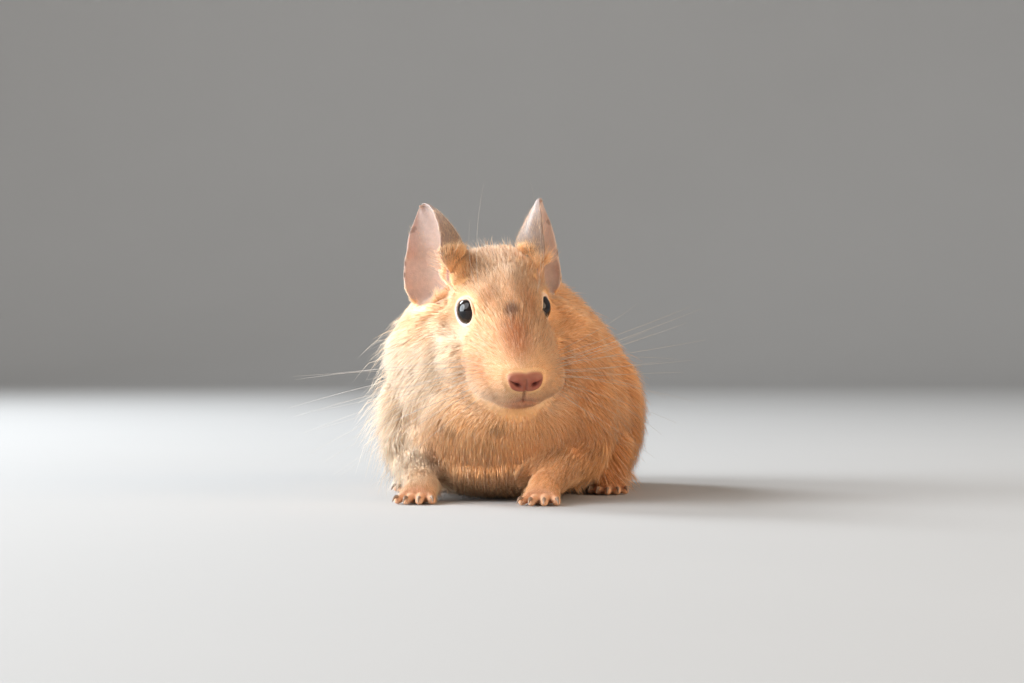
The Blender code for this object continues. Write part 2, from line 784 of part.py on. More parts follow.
def ear_filling(side, rows, grow=0.0, columns=13):
    """A solid that fills the cup between its back and the straight line from rim to rim."""
    rise, look, front = ear_axes(side)
    table = np.array(EAR_STATIONS, dtype=float)
    rings = []
    for number, (up, share) in enumerate(rows):
        measures = [np.interp(up, table[:, 0], table[:, k]) for k in range(1, 6)]
        outward, forward, radius, rear, fore = measures
        radius = radius * share + grow
        up += grow * ((number == len(rows) - 1) - (number == 0))
        ring = []
        for c in range(columns + 1):
            angle = math.radians(rear + (fore - rear) * c / columns)
            point = EAR_ROOT + rise * up + front * (forward + radius * math.sin(angle))
            point += look * (outward - radius * math.cos(angle) + grow * abs(2 * c / columns - 1) ** 8)
            ring.append(Vector((side * point.x, point.y, point.z)))
        rings.append(ring)
    return placed(loft("ear_filling", rings), ear_setting(side))


def ear(name, side):
    return fused(name, ear_filling(side, EAR_PLUG), [ear_shell(side)])


def ear_pocket(side):
    """What the head gives up to seat an ear."""
    pieces = [ear_shell(side, GAP), ear_filling(side, EAR_CLEARED)]
    return fused("ear_pocket", ear_filling(side, EAR_PLUG, GAP), pieces)


def tail_line(distance):
    """Place of the tail's middle, in the trunk's frame, at a distance along it."""
    share = max(distance, 0.0) / TAIL_LENGTH
    steps = 24
    x, y = TAIL_ROOT[0], TAIL_ROOT[1]
    for i in range(steps):
        heading = TAIL_HEADING + TAIL_CURL * ((i + 0.5) / steps * share) ** 1.5
        x += math.sin(heading) * distance / steps
        y += math.cos(heading) * distance / steps
    settle_down = 0.5 + 0.5 * math.cos(math.pi * min(1.0, max(distance, 0.0) / 34.0))
    low = tail_radius(distance) - 0.25
    return Vector((x, y, low + (TAIL_ROOT[2] - low) * settle_down))


def tail_radius(distance):
    share = max(distance, 0.0) / TAIL_LENGTH
    return TAIL_ROOT_RADIUS + (TAIL_END_RADIUS - TAIL_ROOT_RADIUS) * share**0.8


def tail_piece(name, start, end, grow=0.0, steps=7):
    places = [start + (end - start) * i / steps for i in range(steps + 1)]
    radii = [tail_radius(d) + grow for d in places]
    return placed(tube(name, [tail_line(d) for d in places], radii, sides=12), trunk_frame())


def brush_lock(distance, angle, length, flare):
    """A flat tapered lock that leaves the tail at a low slant and bends back along it."""
    here = tail_line(distance)
    along = (tail_line(distance + 1.0) - tail_line(distance - 1.0)).normalized()
    across = along.cross(Vector((0, 0, 1))).normalized()
    lift = across.cross(along)
    out = across * math.cos(angle) + lift * math.sin(angle)
    side = along.cross(out).normalized()
    radius = tail_radius(min(distance, TAIL_LENGTH))
    rings = []
    for share, half_width, half_depth in ((0.0, 1.0, 0.6), (0.4, 1.2, 0.55), (1.0, 0.2, 0.18)):
        rise = radius * 0.45 + flare * math.sin(share * math.pi * 0.55)
        centre = here + out * rise + along * (length * share)
        centre.z = max(centre.z, half_width * abs(side.z) + half_depth * abs(out.z) + 0.1)
        rings.append(
            [
                centre + side * (half_width * a) + out * (half_depth * b)
                for a, b in ((1, -0.5), (0, 1), (-1, -0.5))
            ]
        )
    return placed(loft("lock", rings), trunk_frame())


def tail_end(name):
    """The last third of the tail with its brush."""
    stem = pressed_flat(tail_piece(name, TAIL_CUTS[1] + GAP, TAIL_LENGTH))
    locks = []
    for row in range(BRUSH_ROWS):
        distance = TAIL_CUTS[1] + 4.5 + row * 9.0
        for i in range(BRUSH_LOCKS_ROUND):
            share = (i + 0.5 * (row % 2)) / (BRUSH_LOCKS_ROUND - 0.5)
            angle = math.radians(-12) + share * math.radians(204)
            length = BRUSH_LOCK_LENGTH * (1.0 + 0.14 * math.sin(2.4 * i + 1.7 * row))
            locks.append(brush_lock(distance, angle, length, 1.9 + 0.5 * math.sin(1.9 * i + row)))
    return fused(name, stem, locks)


def whisker(side, root, heading, length, bend):
    """A stiff tapered hair from its root in the whisker pad."""
    root, heading, bend = Vector(root), Vector(heading).normalized(), Vector(bend)
    points = []
    for share in (-0.055, 0.3, 0.66, 1.0):
        point = root + heading * (length * share) + bend * (length * max(share, 0) ** 2)
        points.append(Vector((side * point.x, point.y, point.z)))
    radii = [WHISKER_ROOT_RADIUS * k for k in (1.0, 0.95, 0.8, 0.25)]
    return placed(tube("whisker", points, radii, sides=3), head_frame())


def face_whiskers():
    """Rows of whiskers on each pad, and one long hair over each eye."""
    hairs = []
    for side in (-1, 1):
        for row in range(WHISKER_ROWS):
            for i in range(WHISKERS_IN_ROW):
                root = (9.0 + 0.25 * i - 0.5 * row, 18.0 - 2.9 * i, -6.4 - 2.6 * row)
                heading = (1.0, 0.10 - 0.34 * i, 0.42 - 0.34 * row + 0.05 * i)
                length = 40.0 + 7.5 * i - 2.0 * row
                hairs.append(whisker(side, root, heading, length, (-0.05, -0.22, -0.10 - 0.03 * row)))
        hairs.append(whisker(side, (7.4, 1.4, 6.4), (0.16, -0.22, 0.95), 26.0, (-0.22, -0.16, 0.0)))
    return hairs


def body_nodes():
    """The smooth body, parted into head, neck, trunk and legs."""
    body = sculpt_face(blended_body())
    head = boolean(copied(body, "head"), head_region("head_region"), "INTERSECT")
    boolean(body, bpy.data.objects["head_region"], "DIFFERENCE")
    dropped(bpy.data.objects["head_region"])
    reduced(largest_surface(head), 3900, face_share)
    reduced(largest_surface(body), 2700)
    slot = head_region("head_slot", GAP)
    boolean(body, slot, "DIFFERENCE")
    dropped(slot)
    largest_surface(on_floor(body))
    neck = taken_out(body, neck_region("neck_region"), neck_region("neck_slot", GAP), "neck")
    nodes = {"head": head, "neck": neck, "torso": body}
    for side, label in ((-1, "right"), (1, "left")):
        for region, part in ((foreleg_region, "foreleg_"), (thigh_region, "hind_leg_")):
            inside, slot = region("region", side), region("slot", side, GAP)
            nodes[part + label] = taken_out(body, inside, slot, part + label)
    body.name = "torso"
    return nodes


def wrist_block(side):
    """What lies ahead of a wrist, taken off the foreleg to make room for the paw."""
    outline = [(WRIST[1], -10.0), (WRIST[1], 9.2), (-80.0, 11.0), (-80.0, -10.0)]
    low, high = sorted((side * 8.0, side * 40.0))
    return placed(prism("wrist_block", outline, low, high), trunk_frame())


def add_feet(nodes):
    for side, label in ((-1, "right"), (1, "left")):
        block = wrist_block(side)
        boolean(nodes["foreleg_" + label], block, "DIFFERENCE")
        dropped(block)
        largest_surface(nodes["foreleg_" + label])
        nodes["forepaw_" + label] = fore_paw("forepaw_" + label, side)
        bed = placed(loft("foot_bed", hind_foot_rings(side, GAP)), trunk_frame())
        for carrier in ("hind_leg_" + label, "torso"):
            boolean(nodes[carrier], bed, "DIFFERENCE")
            largest_surface(nodes[carrier])
        dropped(bed)
        nodes["hind_foot_" + label] = hind_foot("hind_foot_" + label, side)


def add_head_pieces(nodes):
    head = nodes["head"]
    for side, label in ((-1, "right"), (1, "left")):
        head = fused("head", head, [lid_ring(side)])
        socket = eyeball("socket", side, GAP)
        boolean(head, socket, "DIFFERENCE")
        dropped(socket)
        nodes["eye_" + label] = eyeball("eye_" + label, side)
        pocket = ear_pocket(side)
        for carrier in (head, nodes["neck"]):
            boolean(carrier, pocket, "DIFFERENCE")
            largest_surface(carrier)
        dropped(pocket)
        nodes["ear_" + label] = ear("ear_" + label, side)
    nodes["head"] = fused("head", largest_surface(head), face_whiskers())


def add_tail(nodes):
    bed = tail_piece("tail_bed", -0.3, 14.0, GAP)
    boolean(nodes["torso"], bed, "DIFFERENCE")
    dropped(bed)
    largest_surface(nodes["torso"])
    nodes["tail_root"] = pressed_flat(tail_piece("tail_root", 0.0, TAIL_CUTS[0]))
    nodes["tail_middle"] = pressed_flat(tail_piece("tail_middle", TAIL_CUTS[0] + GAP, TAIL_CUTS[1]))
    nodes["tail_end"] = tail_end("tail_end")


def material_name(node):
    for part, name in (("ear", "ear_skin"), ("eye", "eye"), ("forepaw", "foot"), ("foot", "foot")):
        if part in node:
            return name
    if node == "tail_end":
        return "tail_brush"
    return "tail" if node.startswith("tail") else "coat"


def main():
    clear_scene()
    nodes = body_nodes()
    add_feet(nodes)
    add_head_pieces(nodes)
    add_tail(nodes)
    for name, obj in nodes.items():
        obj.name = name
        placed(obj, Matrix.Scale(MM, 4))
        obj.data.materials.clear()
        obj.data.materials.append(finish_material(material_name(name)))
        obj.data.shade_smooth()
        obj.data.set_sharp_from_angle(angle=math.radians(40))


main()
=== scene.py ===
"""A sand-coloured degu, life size, crouched on the floor as a museum shows it.

One skin carries the flesh, ears and feet. Over it lie the coat, the brush of the tail, eyes, claws and
whiskers. Lengths are millimetres while the pieces are made; each piece is turned into metres at its end.
"""

import logging
import math
from contextlib import contextmanager
from dataclasses import dataclass, field
from enum import Enum
from functools import cache
from typing import Any, Callable, Iterator

import bmesh
import bpy
import numpy as np
from mathutils import Matrix, Vector
from mathutils.bvhtree import BVHTree
from mathutils.kdtree import KDTree


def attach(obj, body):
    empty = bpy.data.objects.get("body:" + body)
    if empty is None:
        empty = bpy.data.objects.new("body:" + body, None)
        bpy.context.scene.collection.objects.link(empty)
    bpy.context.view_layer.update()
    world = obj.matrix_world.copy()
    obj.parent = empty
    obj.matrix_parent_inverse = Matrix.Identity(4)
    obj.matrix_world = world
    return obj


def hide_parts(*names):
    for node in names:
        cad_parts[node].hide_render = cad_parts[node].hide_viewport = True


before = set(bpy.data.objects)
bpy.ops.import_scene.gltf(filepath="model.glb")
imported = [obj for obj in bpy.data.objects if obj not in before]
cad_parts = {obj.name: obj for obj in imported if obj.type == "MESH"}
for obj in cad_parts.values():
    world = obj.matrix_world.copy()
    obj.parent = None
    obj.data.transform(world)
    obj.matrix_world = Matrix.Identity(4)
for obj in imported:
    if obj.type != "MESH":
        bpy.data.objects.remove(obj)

LOG = logging.getLogger("degu")
MM = 0.001
BODY = "root"
Array = np.ndarray
Object = bpy.types.Object
Mesh = bpy.types.Mesh
Material = bpy.types.Material
Socket = bpy.types.NodeSocket
Colour = tuple[float, float, float, float]


class Side(Enum):
    """The two sides of the animal, as the sign of its own left."""

    RIGHT = -1
    LEFT = 1


def tint(red: float, green: float, blue: float) -> Colour:
    """Linear colour from its look on a screen, 0 to 255."""

    def one(value: float) -> float:
        """One channel, made linear."""
        share = value / 255
        return share / 12.92 if share <= 0.04045 else ((share + 0.055) / 1.055) ** 2.4

    return (one(red), one(green), one(blue), 1)


def ramp(low: float, high: float, values: Array) -> Array:
    """Rises from 0 at low to 1 at high without a corner; low may be the larger."""
    share = np.clip((values - low) / (high - low), 0, 1)
    return share * share * (3 - 2 * share)


def hump(distance: Array, width: float) -> Array:
    """A soft hump of height 1 that fades over width."""
    return np.exp(-((distance / width) ** 2))


def unit(vectors: Array) -> Array:
    """The vectors at length 1."""
    return vectors / np.maximum(np.linalg.norm(vectors, axis=-1, keepdims=True), 1e-9)


def moved(points: Array, frame_of: Matrix) -> Array:
    """The points carried by a matrix."""
    matrix = np.array(frame_of)
    return points @ matrix[:3, :3].T + matrix[:3, 3]


def eased(table: tuple, steps: int) -> Array:
    """More rows between those of a table, on a smooth curve through them.

    Args:
        table: Rows of numbers.
        steps: Steps from one row to the next.

    Returns:
        The rows as an array.
    """
    rows = [np.array(row, dtype=float) for row in table]
    result = []
    for i in range(len(rows) - 1):
        before, start = rows[max(i - 1, 0)], rows[i]
        end, after = rows[i + 1], rows[min(i + 2, len(rows) - 1)]
        for step in range(steps):
            t = step / steps
            curve = 2 * start + (end - before) * t + (2 * before - 5 * start + 4 * end - after) * t**2
            result.append(0.5 * (curve + (3 * start - before - 3 * end + after) * t**3))
    return np.array(result + [rows[-1]])


def linked(name: str, data: bpy.types.ID) -> Object:
    """A new object of the scene that shows this data."""
    obj = bpy.data.objects.new(name, data)
    bpy.context.scene.collection.objects.link(obj)
    return obj


def mesh_object(name: str, points: Array, faces: list, edges: tuple | list = ()) -> Object:
    """A linked mesh object from points, faces and loose edges."""
    mesh = bpy.data.meshes.new(name)
    mesh.from_pydata(np.asarray(points).tolist(), edges, faces)
    mesh.update()
    return linked(name, mesh)


@contextmanager
def editing(mesh: Mesh) -> Iterator[bmesh.types.BMesh]:
    """Opens a mesh for editing and writes it back at the end."""
    bm = bmesh.new()
    bm.from_mesh(mesh)
    yield bm
    bm.to_mesh(mesh)
    bm.free()


def outward(obj: Object) -> Object:
    """Turns the faces of a closed mesh outwards."""
    with editing(obj.data) as bm:
        bmesh.ops.recalc_face_normals(bm, faces=bm.faces)
    return obj


def read(elements: Any, label: str, width: int, kind: type = np.float32) -> Array:
    """One property of all the elements, a row for each.

    Args:
        elements: Vertices, loops or triangles of a mesh.
        label: The property.
        width: How many numbers it has.
        kind: Their type.

    Returns:
        The rows.
    """
    flat = np.empty(len(elements) * width, kind)
    elements.foreach_get(label, flat)
    return flat.reshape(-1, width)


def points_of(mesh: Mesh) -> Array:
    """The vertices' places as rows."""
    return read(mesh.vertices, "co", 3).astype(float)


def normals_of(mesh: Mesh) -> Array:
    """The vertices' normals as rows."""
    return unit(read(mesh.vertices, "normal", 3).astype(float))


def set_points(mesh: Mesh, points: Array) -> None:
    """Moves the vertices to these places."""
    mesh.vertices.foreach_set("co", points.astype(np.float32).ravel())
    mesh.update()


def store(mesh: Mesh, name: str, values: Array) -> None:
    """Keeps a number or a colour for each vertex.

    Args:
        mesh: The mesh.
        name: The attribute's name.
        values: One number or one row of red, green and blue for each vertex.
    """
    if values.ndim == 1:
        layer = mesh.attributes.new(name, "FLOAT", "POINT")
        layer.data.foreach_set("value", values.astype(np.float32))
        return
    layer = mesh.attributes.new(name, "FLOAT_COLOR", "POINT")
    full = np.hstack([values, np.ones((len(values), 1))])
    layer.data.foreach_set("color", full.astype(np.float32).ravel())


def settle(obj: Object) -> Object:
    """Applies the object's modifiers."""
    bpy.context.view_layer.update()
    graph = bpy.context.evaluated_depsgraph_get()
    done = bpy.data.meshes.new_from_object(obj.evaluated_get(graph))
    obj.modifiers.clear()
    obj.data = done
    return obj


def joined(name: str, parts: list[Object]) -> Object:
    """One object with the meshes of all the parts, which are removed."""
    mesh = bpy.data.meshes.new(name)
    with editing(mesh) as bm:
        for part in parts:
            bm.from_mesh(part.data)
            bpy.data.objects.remove(part, do_unlink=True)
    return linked(name, mesh)


def merged(obj: Object, voxel: float, passes: int) -> Object:
    """Runs closed forms together into one even surface.

    Args:
        obj: Closed forms that overlap.
        voxel: Size of the faces.
        passes: How often the surface is smoothed.

    Returns:
        The same object with its new mesh.
    """
    remesh = obj.modifiers.new("Merge", "REMESH")
    remesh.mode = "VOXEL"
    remesh.voxel_size = voxel
    ease = obj.modifiers.new("Ease", "SMOOTH")
    ease.factor = 0.5
    ease.iterations = passes
    return settle(obj)


def united(obj: Object, other: Object) -> Object:
    """Boolean union of two closed objects; the second is removed."""
    union = obj.modifiers.new("Union", "BOOLEAN")
    union.operation = "UNION"
    union.solver = "MANIFOLD"
    union.object = other
    settle(obj)
    bpy.data.objects.remove(other, do_unlink=True)
    return obj


def loft(name: str, rings: Array) -> Object:
    """A closed skin through rings of points, fanned shut at both ends."""
    count, sides = rings.shape[:2]
    faces = []
    for i in range(sides):
        j = (i + 1) % sides
        for row in range(count - 1):
            low, high = row * sides, (row + 1) * sides
            faces.append((low + i, low + j, high + j, high + i))
        last = (count - 1) * sides
        faces.append((j, i, count * sides))
        faces.append((last + i, last + j, count * sides + 1))
    points = np.vstack([rings.reshape(-1, 3), rings[0].mean(axis=0), rings[-1].mean(axis=0)])
    return outward(mesh_object(name, points, faces))


def oval(station: Array, lower_power: float, sides: int = 40) -> Array:
    """A ring across a long axis, whose upper and lower halves have their own squareness.

    Args:
        station: Distance along, half width, widest level, top, bottom and the upper half's power.
        lower_power: The lower half's power.
        sides: Points round the ring.

    Returns:
        Points as (across, along, up).
    """
    along, half_width, widest, top, bottom, crown = (float(v) for v in station)
    angle = np.arange(sides) * math.tau / sides
    across, rise = np.cos(angle), np.sin(angle)
    power = np.where(rise > 0, crown, lower_power)
    reach = np.where(rise > 0, top - widest, widest - bottom)
    x = half_width * np.copysign(np.abs(across) ** (2 / power), across)
    z = widest + reach * np.copysign(np.abs(rise) ** (2 / power), rise)
    return np.stack([x, np.full(sides, along), z], axis=1)


def tube(name: str, line: Array, radii: Array, sides: int = 12) -> Object:
    """A tapered limb through the points of a line."""
    line = np.asarray(line, dtype=float)
    along = unit(np.gradient(line, axis=0))
    across = unit(np.cross(along, (0, 0, 1)))
    lift = np.cross(across, along)
    angle = np.arange(sides) * math.tau / sides
    ring = across[:, None] * np.cos(angle)[:, None] + lift[:, None] * np.sin(angle)[:, None]
    return loft(name, line[:, None] + ring * np.asarray(radii, dtype=float)[:, None, None])


def ellipsoid(name: str, centre: tuple, semi: tuple, segments: int = 28) -> Object:
    """An ellipsoid with its poles up and down."""
    mesh = bpy.data.meshes.new(name)
    with editing(mesh) as bm:
        bmesh.ops.create_uvsphere(bm, u_segments=segments, v_segments=segments * 2 // 3, radius=1)
    set_points(mesh, points_of(mesh) * semi + centre)
    return linked(name, mesh)


def placed(obj: Object, frame_of: Matrix) -> Object:
    """Moves the mesh by a matrix and keeps its faces outward when that mirrors."""
    obj.data.transform(frame_of)
    if frame_of.determinant() < 0:
        obj.data.flip_normals()
    return obj


def near_line(points: Array, start: Array, end: Array) -> tuple[Array, Array]:
    """Distance of points from a straight stretch, and how far along it they lie, 0 to 1."""
    run = end - start
    share = np.clip((points - start) @ run / (run @ run), 0, 1)
    return np.linalg.norm(points - start - share[:, None] * run, axis=1), share


class Graph:
    """A node tree under construction."""

    def __init__(self, tree: bpy.types.NodeTree) -> None:
        """Starts on an empty tree."""
        self.tree = tree
        tree.nodes.clear()

    @classmethod
    def finish(cls, name: str) -> tuple[Material, "Graph"]:
        """A new material and the graph of its nodes."""
        made = bpy.data.materials.new(name)
        made.use_nodes = True
        return made, cls(made.node_tree)

    @classmethod
    def group(cls, name: str, kind: str, inputs: dict, output: tuple) -> tuple["Graph", Any]:
        """A new node group.

        Args:
            name: Its name.
            kind: Shader or Geometry.
            inputs: Sockets' names and types.
            output: Name and type of its one output.

        Returns:
            The graph of its nodes, and what its inputs give.
        """
        tree = bpy.data.node_groups.new(name, kind + "NodeTree")
        for label, socket in inputs.items():
            tree.interface.new_socket(label, in_out="INPUT", socket_type="NodeSocket" + socket)
        tree.interface.new_socket(output[0], in_out="OUTPUT", socket_type="NodeSocket" + output[1])
        graph = cls(tree)
        return graph, graph.add("NodeGroupInput").outputs

    def add(self, kind: str, inputs: dict | None = None, **settings: Any) -> bpy.types.Node:
        """Adds a node.

        Args:
            kind: Its type.
            inputs: Sockets' names or numbers, with a value or the socket that feeds each.
            settings: The node's own settings.

        Returns:
            The node.
        """
        node = self.tree.nodes.new(kind)
        node.location = (180 * len(self.tree.nodes), 0)
        for name, value in settings.items():
            setattr(node, name, value)
        for name, value in (inputs or {}).items():
            if isinstance(value, Socket):
                self.tree.links.new(value, node.inputs[name])
            else:
                node.inputs[name].default_value = value
        return node

    def math(self, operation: str, first: Any, second: Any = 0) -> Socket:
        """The result of a Math node."""
        return self.add("ShaderNodeMath", {0: first, 1: second}, operation=operation).outputs[0]

    def mix(self, factor: Any, first: Any, second: Any, blend: str = "MIX") -> Socket:
        """The result of a colour Mix node."""
        inputs = {0: factor, 6: first, 7: second}
        return self.add("ShaderNodeMix", inputs, data_type="RGBA", blend_type=blend).outputs[2]

    def grey(self, level: Any) -> Socket:
        """A grey of this level."""
        return self.add("ShaderNodeCombineColor", {"Red": level, "Green": level, "Blue": level}).outputs[0]

    def noise(self, scale: Any, detail: float, distortion: float = 0) -> Socket:
        """A noise value over Object coordinates, in metres."""
        place = self.add("ShaderNodeTexCoord").outputs["Object"]
        inputs = {"Vector": place, "Scale": scale, "Detail": detail, "Distortion": distortion}
        return self.add("ShaderNodeTexNoise", inputs).outputs["Fac"]

    def attribute(self, name: str, output: str = "Fac") -> Socket:
        """A mesh attribute, by its name."""
        return self.add("ShaderNodeAttribute", attribute_name=name).outputs[output]

    def bump(self, height: Any, strength: float, distance: float) -> Socket:
        """The normal over a relief of this height."""
        inputs = {"Height": height, "Strength": strength, "Distance": distance}
        return self.add("ShaderNodeBump", inputs).outputs["Normal"]

    def surface(self, inputs: dict) -> None:
        """Ends the material's own tree in a Principled BSDF."""
        shader = self.add("ShaderNodeBsdfPrincipled", inputs)
        self.add("ShaderNodeOutputMaterial", {"Surface": shader.outputs[0]})


@cache
def pelt_colour() -> bpy.types.NodeTree:
    """The group that turns the coat's marking into the colour of hair, from its root to its tip."""
    values = ("Along", "Tone", "Root Shade", "Tip Light", "Mottle", "Mottle Scale")
    inputs = {"Marking": "Color"} | dict.fromkeys(values, "Float")
    graph, given = Graph.group("pelt_colour", "Shader", inputs, ("Color", "Color"))
    blotch = graph.math("SUBTRACT", graph.noise(given["Mottle Scale"], 4), 0.5)
    bright = graph.math("ADD", given["Tone"], graph.math("MULTIPLY", blotch, given["Mottle"]))
    toned = graph.mix(1, given["Marking"], graph.grey(bright), "MULTIPLY")
    deep = graph.mix(1, toned, (0.80, 0.66, 0.52, 1), "MULTIPLY")
    rooted = graph.mix(given["Root Shade"], toned, deep)
    base = graph.mix(graph.math("POWER", given["Along"], 0.6), rooted, toned)
    tip = graph.math("MULTIPLY", graph.math("POWER", given["Along"], 2), given["Tip Light"])
    pale = graph.mix(1, base, (1.55, 1.62, 1.75, 1), "MULTIPLY")
    graph.add("NodeGroupOutput", {"Color": graph.mix(tip, base, pale)})
    return graph.tree


@dataclass(frozen=True)
class HairFinish:
    """Dull hair whose colour comes from the coat's markings.

    Root shade darkens it at the skin, tip light pales its ends, mottle varies it in patches.
    """

    name: str
    root_shade: float = 0.42
    tip_light: float = 0.36
    mottle: float = 0.1
    mottle_scale: float = 260.0
    roughness: float = 0.5
    sheen: float = 0.1

    def material(self) -> Material:
        """Builds the material, or finds it when it is there.

        Returns:
            The material.
        """
        if self.name in bpy.data.materials:
            return bpy.data.materials[self.name]
        made, graph = Graph.finish(self.name)
        inputs = {
            "Marking": graph.attribute("marking", "Color"),
            "Along": graph.attribute("along"),
            "Tone": graph.attribute("tone"),
            "Root Shade": self.root_shade,
            "Tip Light": self.tip_light,
            "Mottle": self.mottle,
            "Mottle Scale": self.mottle_scale,
        }
        hair = graph.add("ShaderNodeGroup", inputs, node_tree=pelt_colour())
        graph.surface(
            {
                "Base Color": hair.outputs["Color"],
                "Roughness": self.roughness,
                "Specular IOR Level": 0.3,
                "Sheen Weight": self.sheen,
                "Sheen Roughness": 0.45,
            }
        )
        return made


@dataclass(frozen=True)
class SkinFinish:
    """Skin under the coat, and bare where the nose, lips, lids, ears and soles show."""

    name: str = "degu_skin"
    furred_roughness: float = 0.8
    bare_roughness: float = 0.46
    pore_scale: float = 2600.0
    fold_scale: float = 700.0

    def material(self) -> Material:
        """Builds the material.

        Returns:
            The material.
        """
        made, graph = Graph.finish(self.name)
        shade = graph.math("ADD", graph.math("MULTIPLY", graph.noise(900, 4), 0.35), 0.82)
        colour = graph.mix(1, graph.attribute("marking", "Color"), graph.grey(shade), "MULTIPLY")
        place = graph.add("ShaderNodeTexCoord").outputs["Object"]
        cells = graph.add("ShaderNodeTexVoronoi", {"Vector": place, "Scale": self.pore_scale})
        pores = cells.outputs["Distance"]
        folds = graph.math("MULTIPLY", graph.noise(self.fold_scale, 5, 0.6), 0.9)
        height = graph.math("ADD", graph.math("MULTIPLY", pores, 0.6), folds)
        bare = graph.math("MULTIPLY", graph.attribute("bare"), self.bare_roughness - self.furred_roughness)
        graph.surface(
            {
                "Base Color": colour,
                "Roughness": graph.math("ADD", bare, self.furred_roughness),
                "Specular IOR Level": 0.35,
                "Subsurface Weight": 0.18,
                "Subsurface Radius": (1, 0.45, 0.3),
                "Subsurface Scale": 0.0012,
                "Normal": graph.bump(height, 0.35, 0.0002),
            }
        )
        return made


@dataclass(frozen=True)
class EyeFinish:
    """A wet dark eye: black pupil, very dark brown iris, darker again at its edge."""

    name: str = "degu_eye"
    pupil: Colour = (0.002, 0.002, 0.003, 1)
    iris: Colour = (0.014, 0.008, 0.006, 1)
    edge: Colour = (0.005, 0.004, 0.004, 1)

    def material(self) -> Material:
        """Builds the material.

        Returns:
            The material.
        """
        made, graph = Graph.finish(self.name)
        streak = graph.math("MULTIPLY", graph.math("SUBTRACT", graph.noise(2400, 4), 0.5), 0.12)
        level = graph.math("ADD", graph.attribute("spread"), streak)
        bands = graph.add("ShaderNodeValToRGB", {"Fac": level})
        stops = bands.color_ramp.elements
        stops[0].color = self.pupil
        for position, colour in ((0.36, self.pupil), (0.42, self.iris), (0.7, self.iris)):
            stops.new(position).color = colour
        stops[-1].position = 0.86
        stops[-1].color = self.edge
        graph.surface({"Base Color": bands.outputs["Color"], "Roughness": 0.04, "IOR": 1.4})
        return made


@dataclass(frozen=True)
class HornFinish:
    """Horn of claws and whiskers, streaked along itself."""

    name: str
    colour: Colour
    deep: Colour
    roughness: float = 0.35

    def material(self) -> Material:
        """Builds the material.

        Returns:
            The material.
        """
        made, graph = Graph.finish(self.name)
        streak = graph.noise(1500, 3)
        colour = graph.mix(streak, self.deep, self.colour)
        normal = graph.bump(streak, 0.2, 0.0001)
        graph.surface({"Base Color": colour, "Roughness": self.roughness, "Normal": normal})
        return made


@dataclass(frozen=True)
class FloorFinish:
    """A pale matt studio floor."""

    name: str = "studio_floor"
    colour: Colour = (0.46, 0.455, 0.445, 1)

    def material(self) -> Material:
        """Builds the material.

        Returns:
            The material.
        """
        made, graph = Graph.finish(self.name)
        darker = tuple(0.965 * c for c in self.colour[:3]) + (1,)
        colour = graph.mix(graph.noise(9, 2), darker, self.colour)
        graph.surface({"Base Color": colour, "Roughness": 0.85})
        return made


@dataclass(frozen=True)
class Places:
    """Where the trunk and the head stand and how they are turned."""

    body_turn: float = math.radians(10)
    head_centre: tuple = (-1.6, -36, 47.7)
    head_turn: float = math.radians(14)
    head_nod: float = math.radians(30)
    head_roll: float = math.radians(3)
    elbow: tuple = (21.5, -24, 12)
    wrist: tuple = (15.5, -41, 4.6)

    def trunk(self) -> Matrix:
        """Maps trunk coordinates (aside, behind, up) to the world."""
        return Matrix.Rotation(-self.body_turn, 4, "Z")

    def head(self) -> Matrix:
        """Maps head coordinates (aside to its left, ahead, up) to the world."""
        level, sin, cos = math.cos(self.head_nod), math.sin(self.head_turn), math.cos(self.head_turn)
        ahead = Vector((sin * level, -cos * level, -math.sin(self.head_nod)))
        aside = Vector((cos, sin, 0))
        turn = Matrix((aside, ahead, ahead.cross(aside))).transposed().to_4x4()
        roll = Matrix.Rotation(self.head_roll, 4, ahead)
        return Matrix.Translation(Vector(self.head_centre)) @ roll @ turn

    def forearm(self, side: int) -> tuple[Array, Array]:
        """Elbow and wrist of one side, in the trunk's frame."""
        return np.array(self.elbow) * (side, 1, 1), np.array(self.wrist) * (side, 1, 1)

    def in_head(self, world: Array) -> Array:
        """World points in the head's coordinates."""
        return moved(world, self.head().inverted())

    def in_trunk(self, world: Array) -> Array:
        """World points in the trunk's coordinates."""
        return moved(world, self.trunk().inverted())

    def from_head(self, directions: Array) -> Array:
        """Directions of the head's coordinates in the world's."""
        return directions @ np.array(self.head())[:3, :3].T

    def from_trunk(self, directions: Array) -> Array:
        """Directions of the trunk's coordinates in the world's."""
        return directions @ np.array(self.trunk())[:3, :3].T


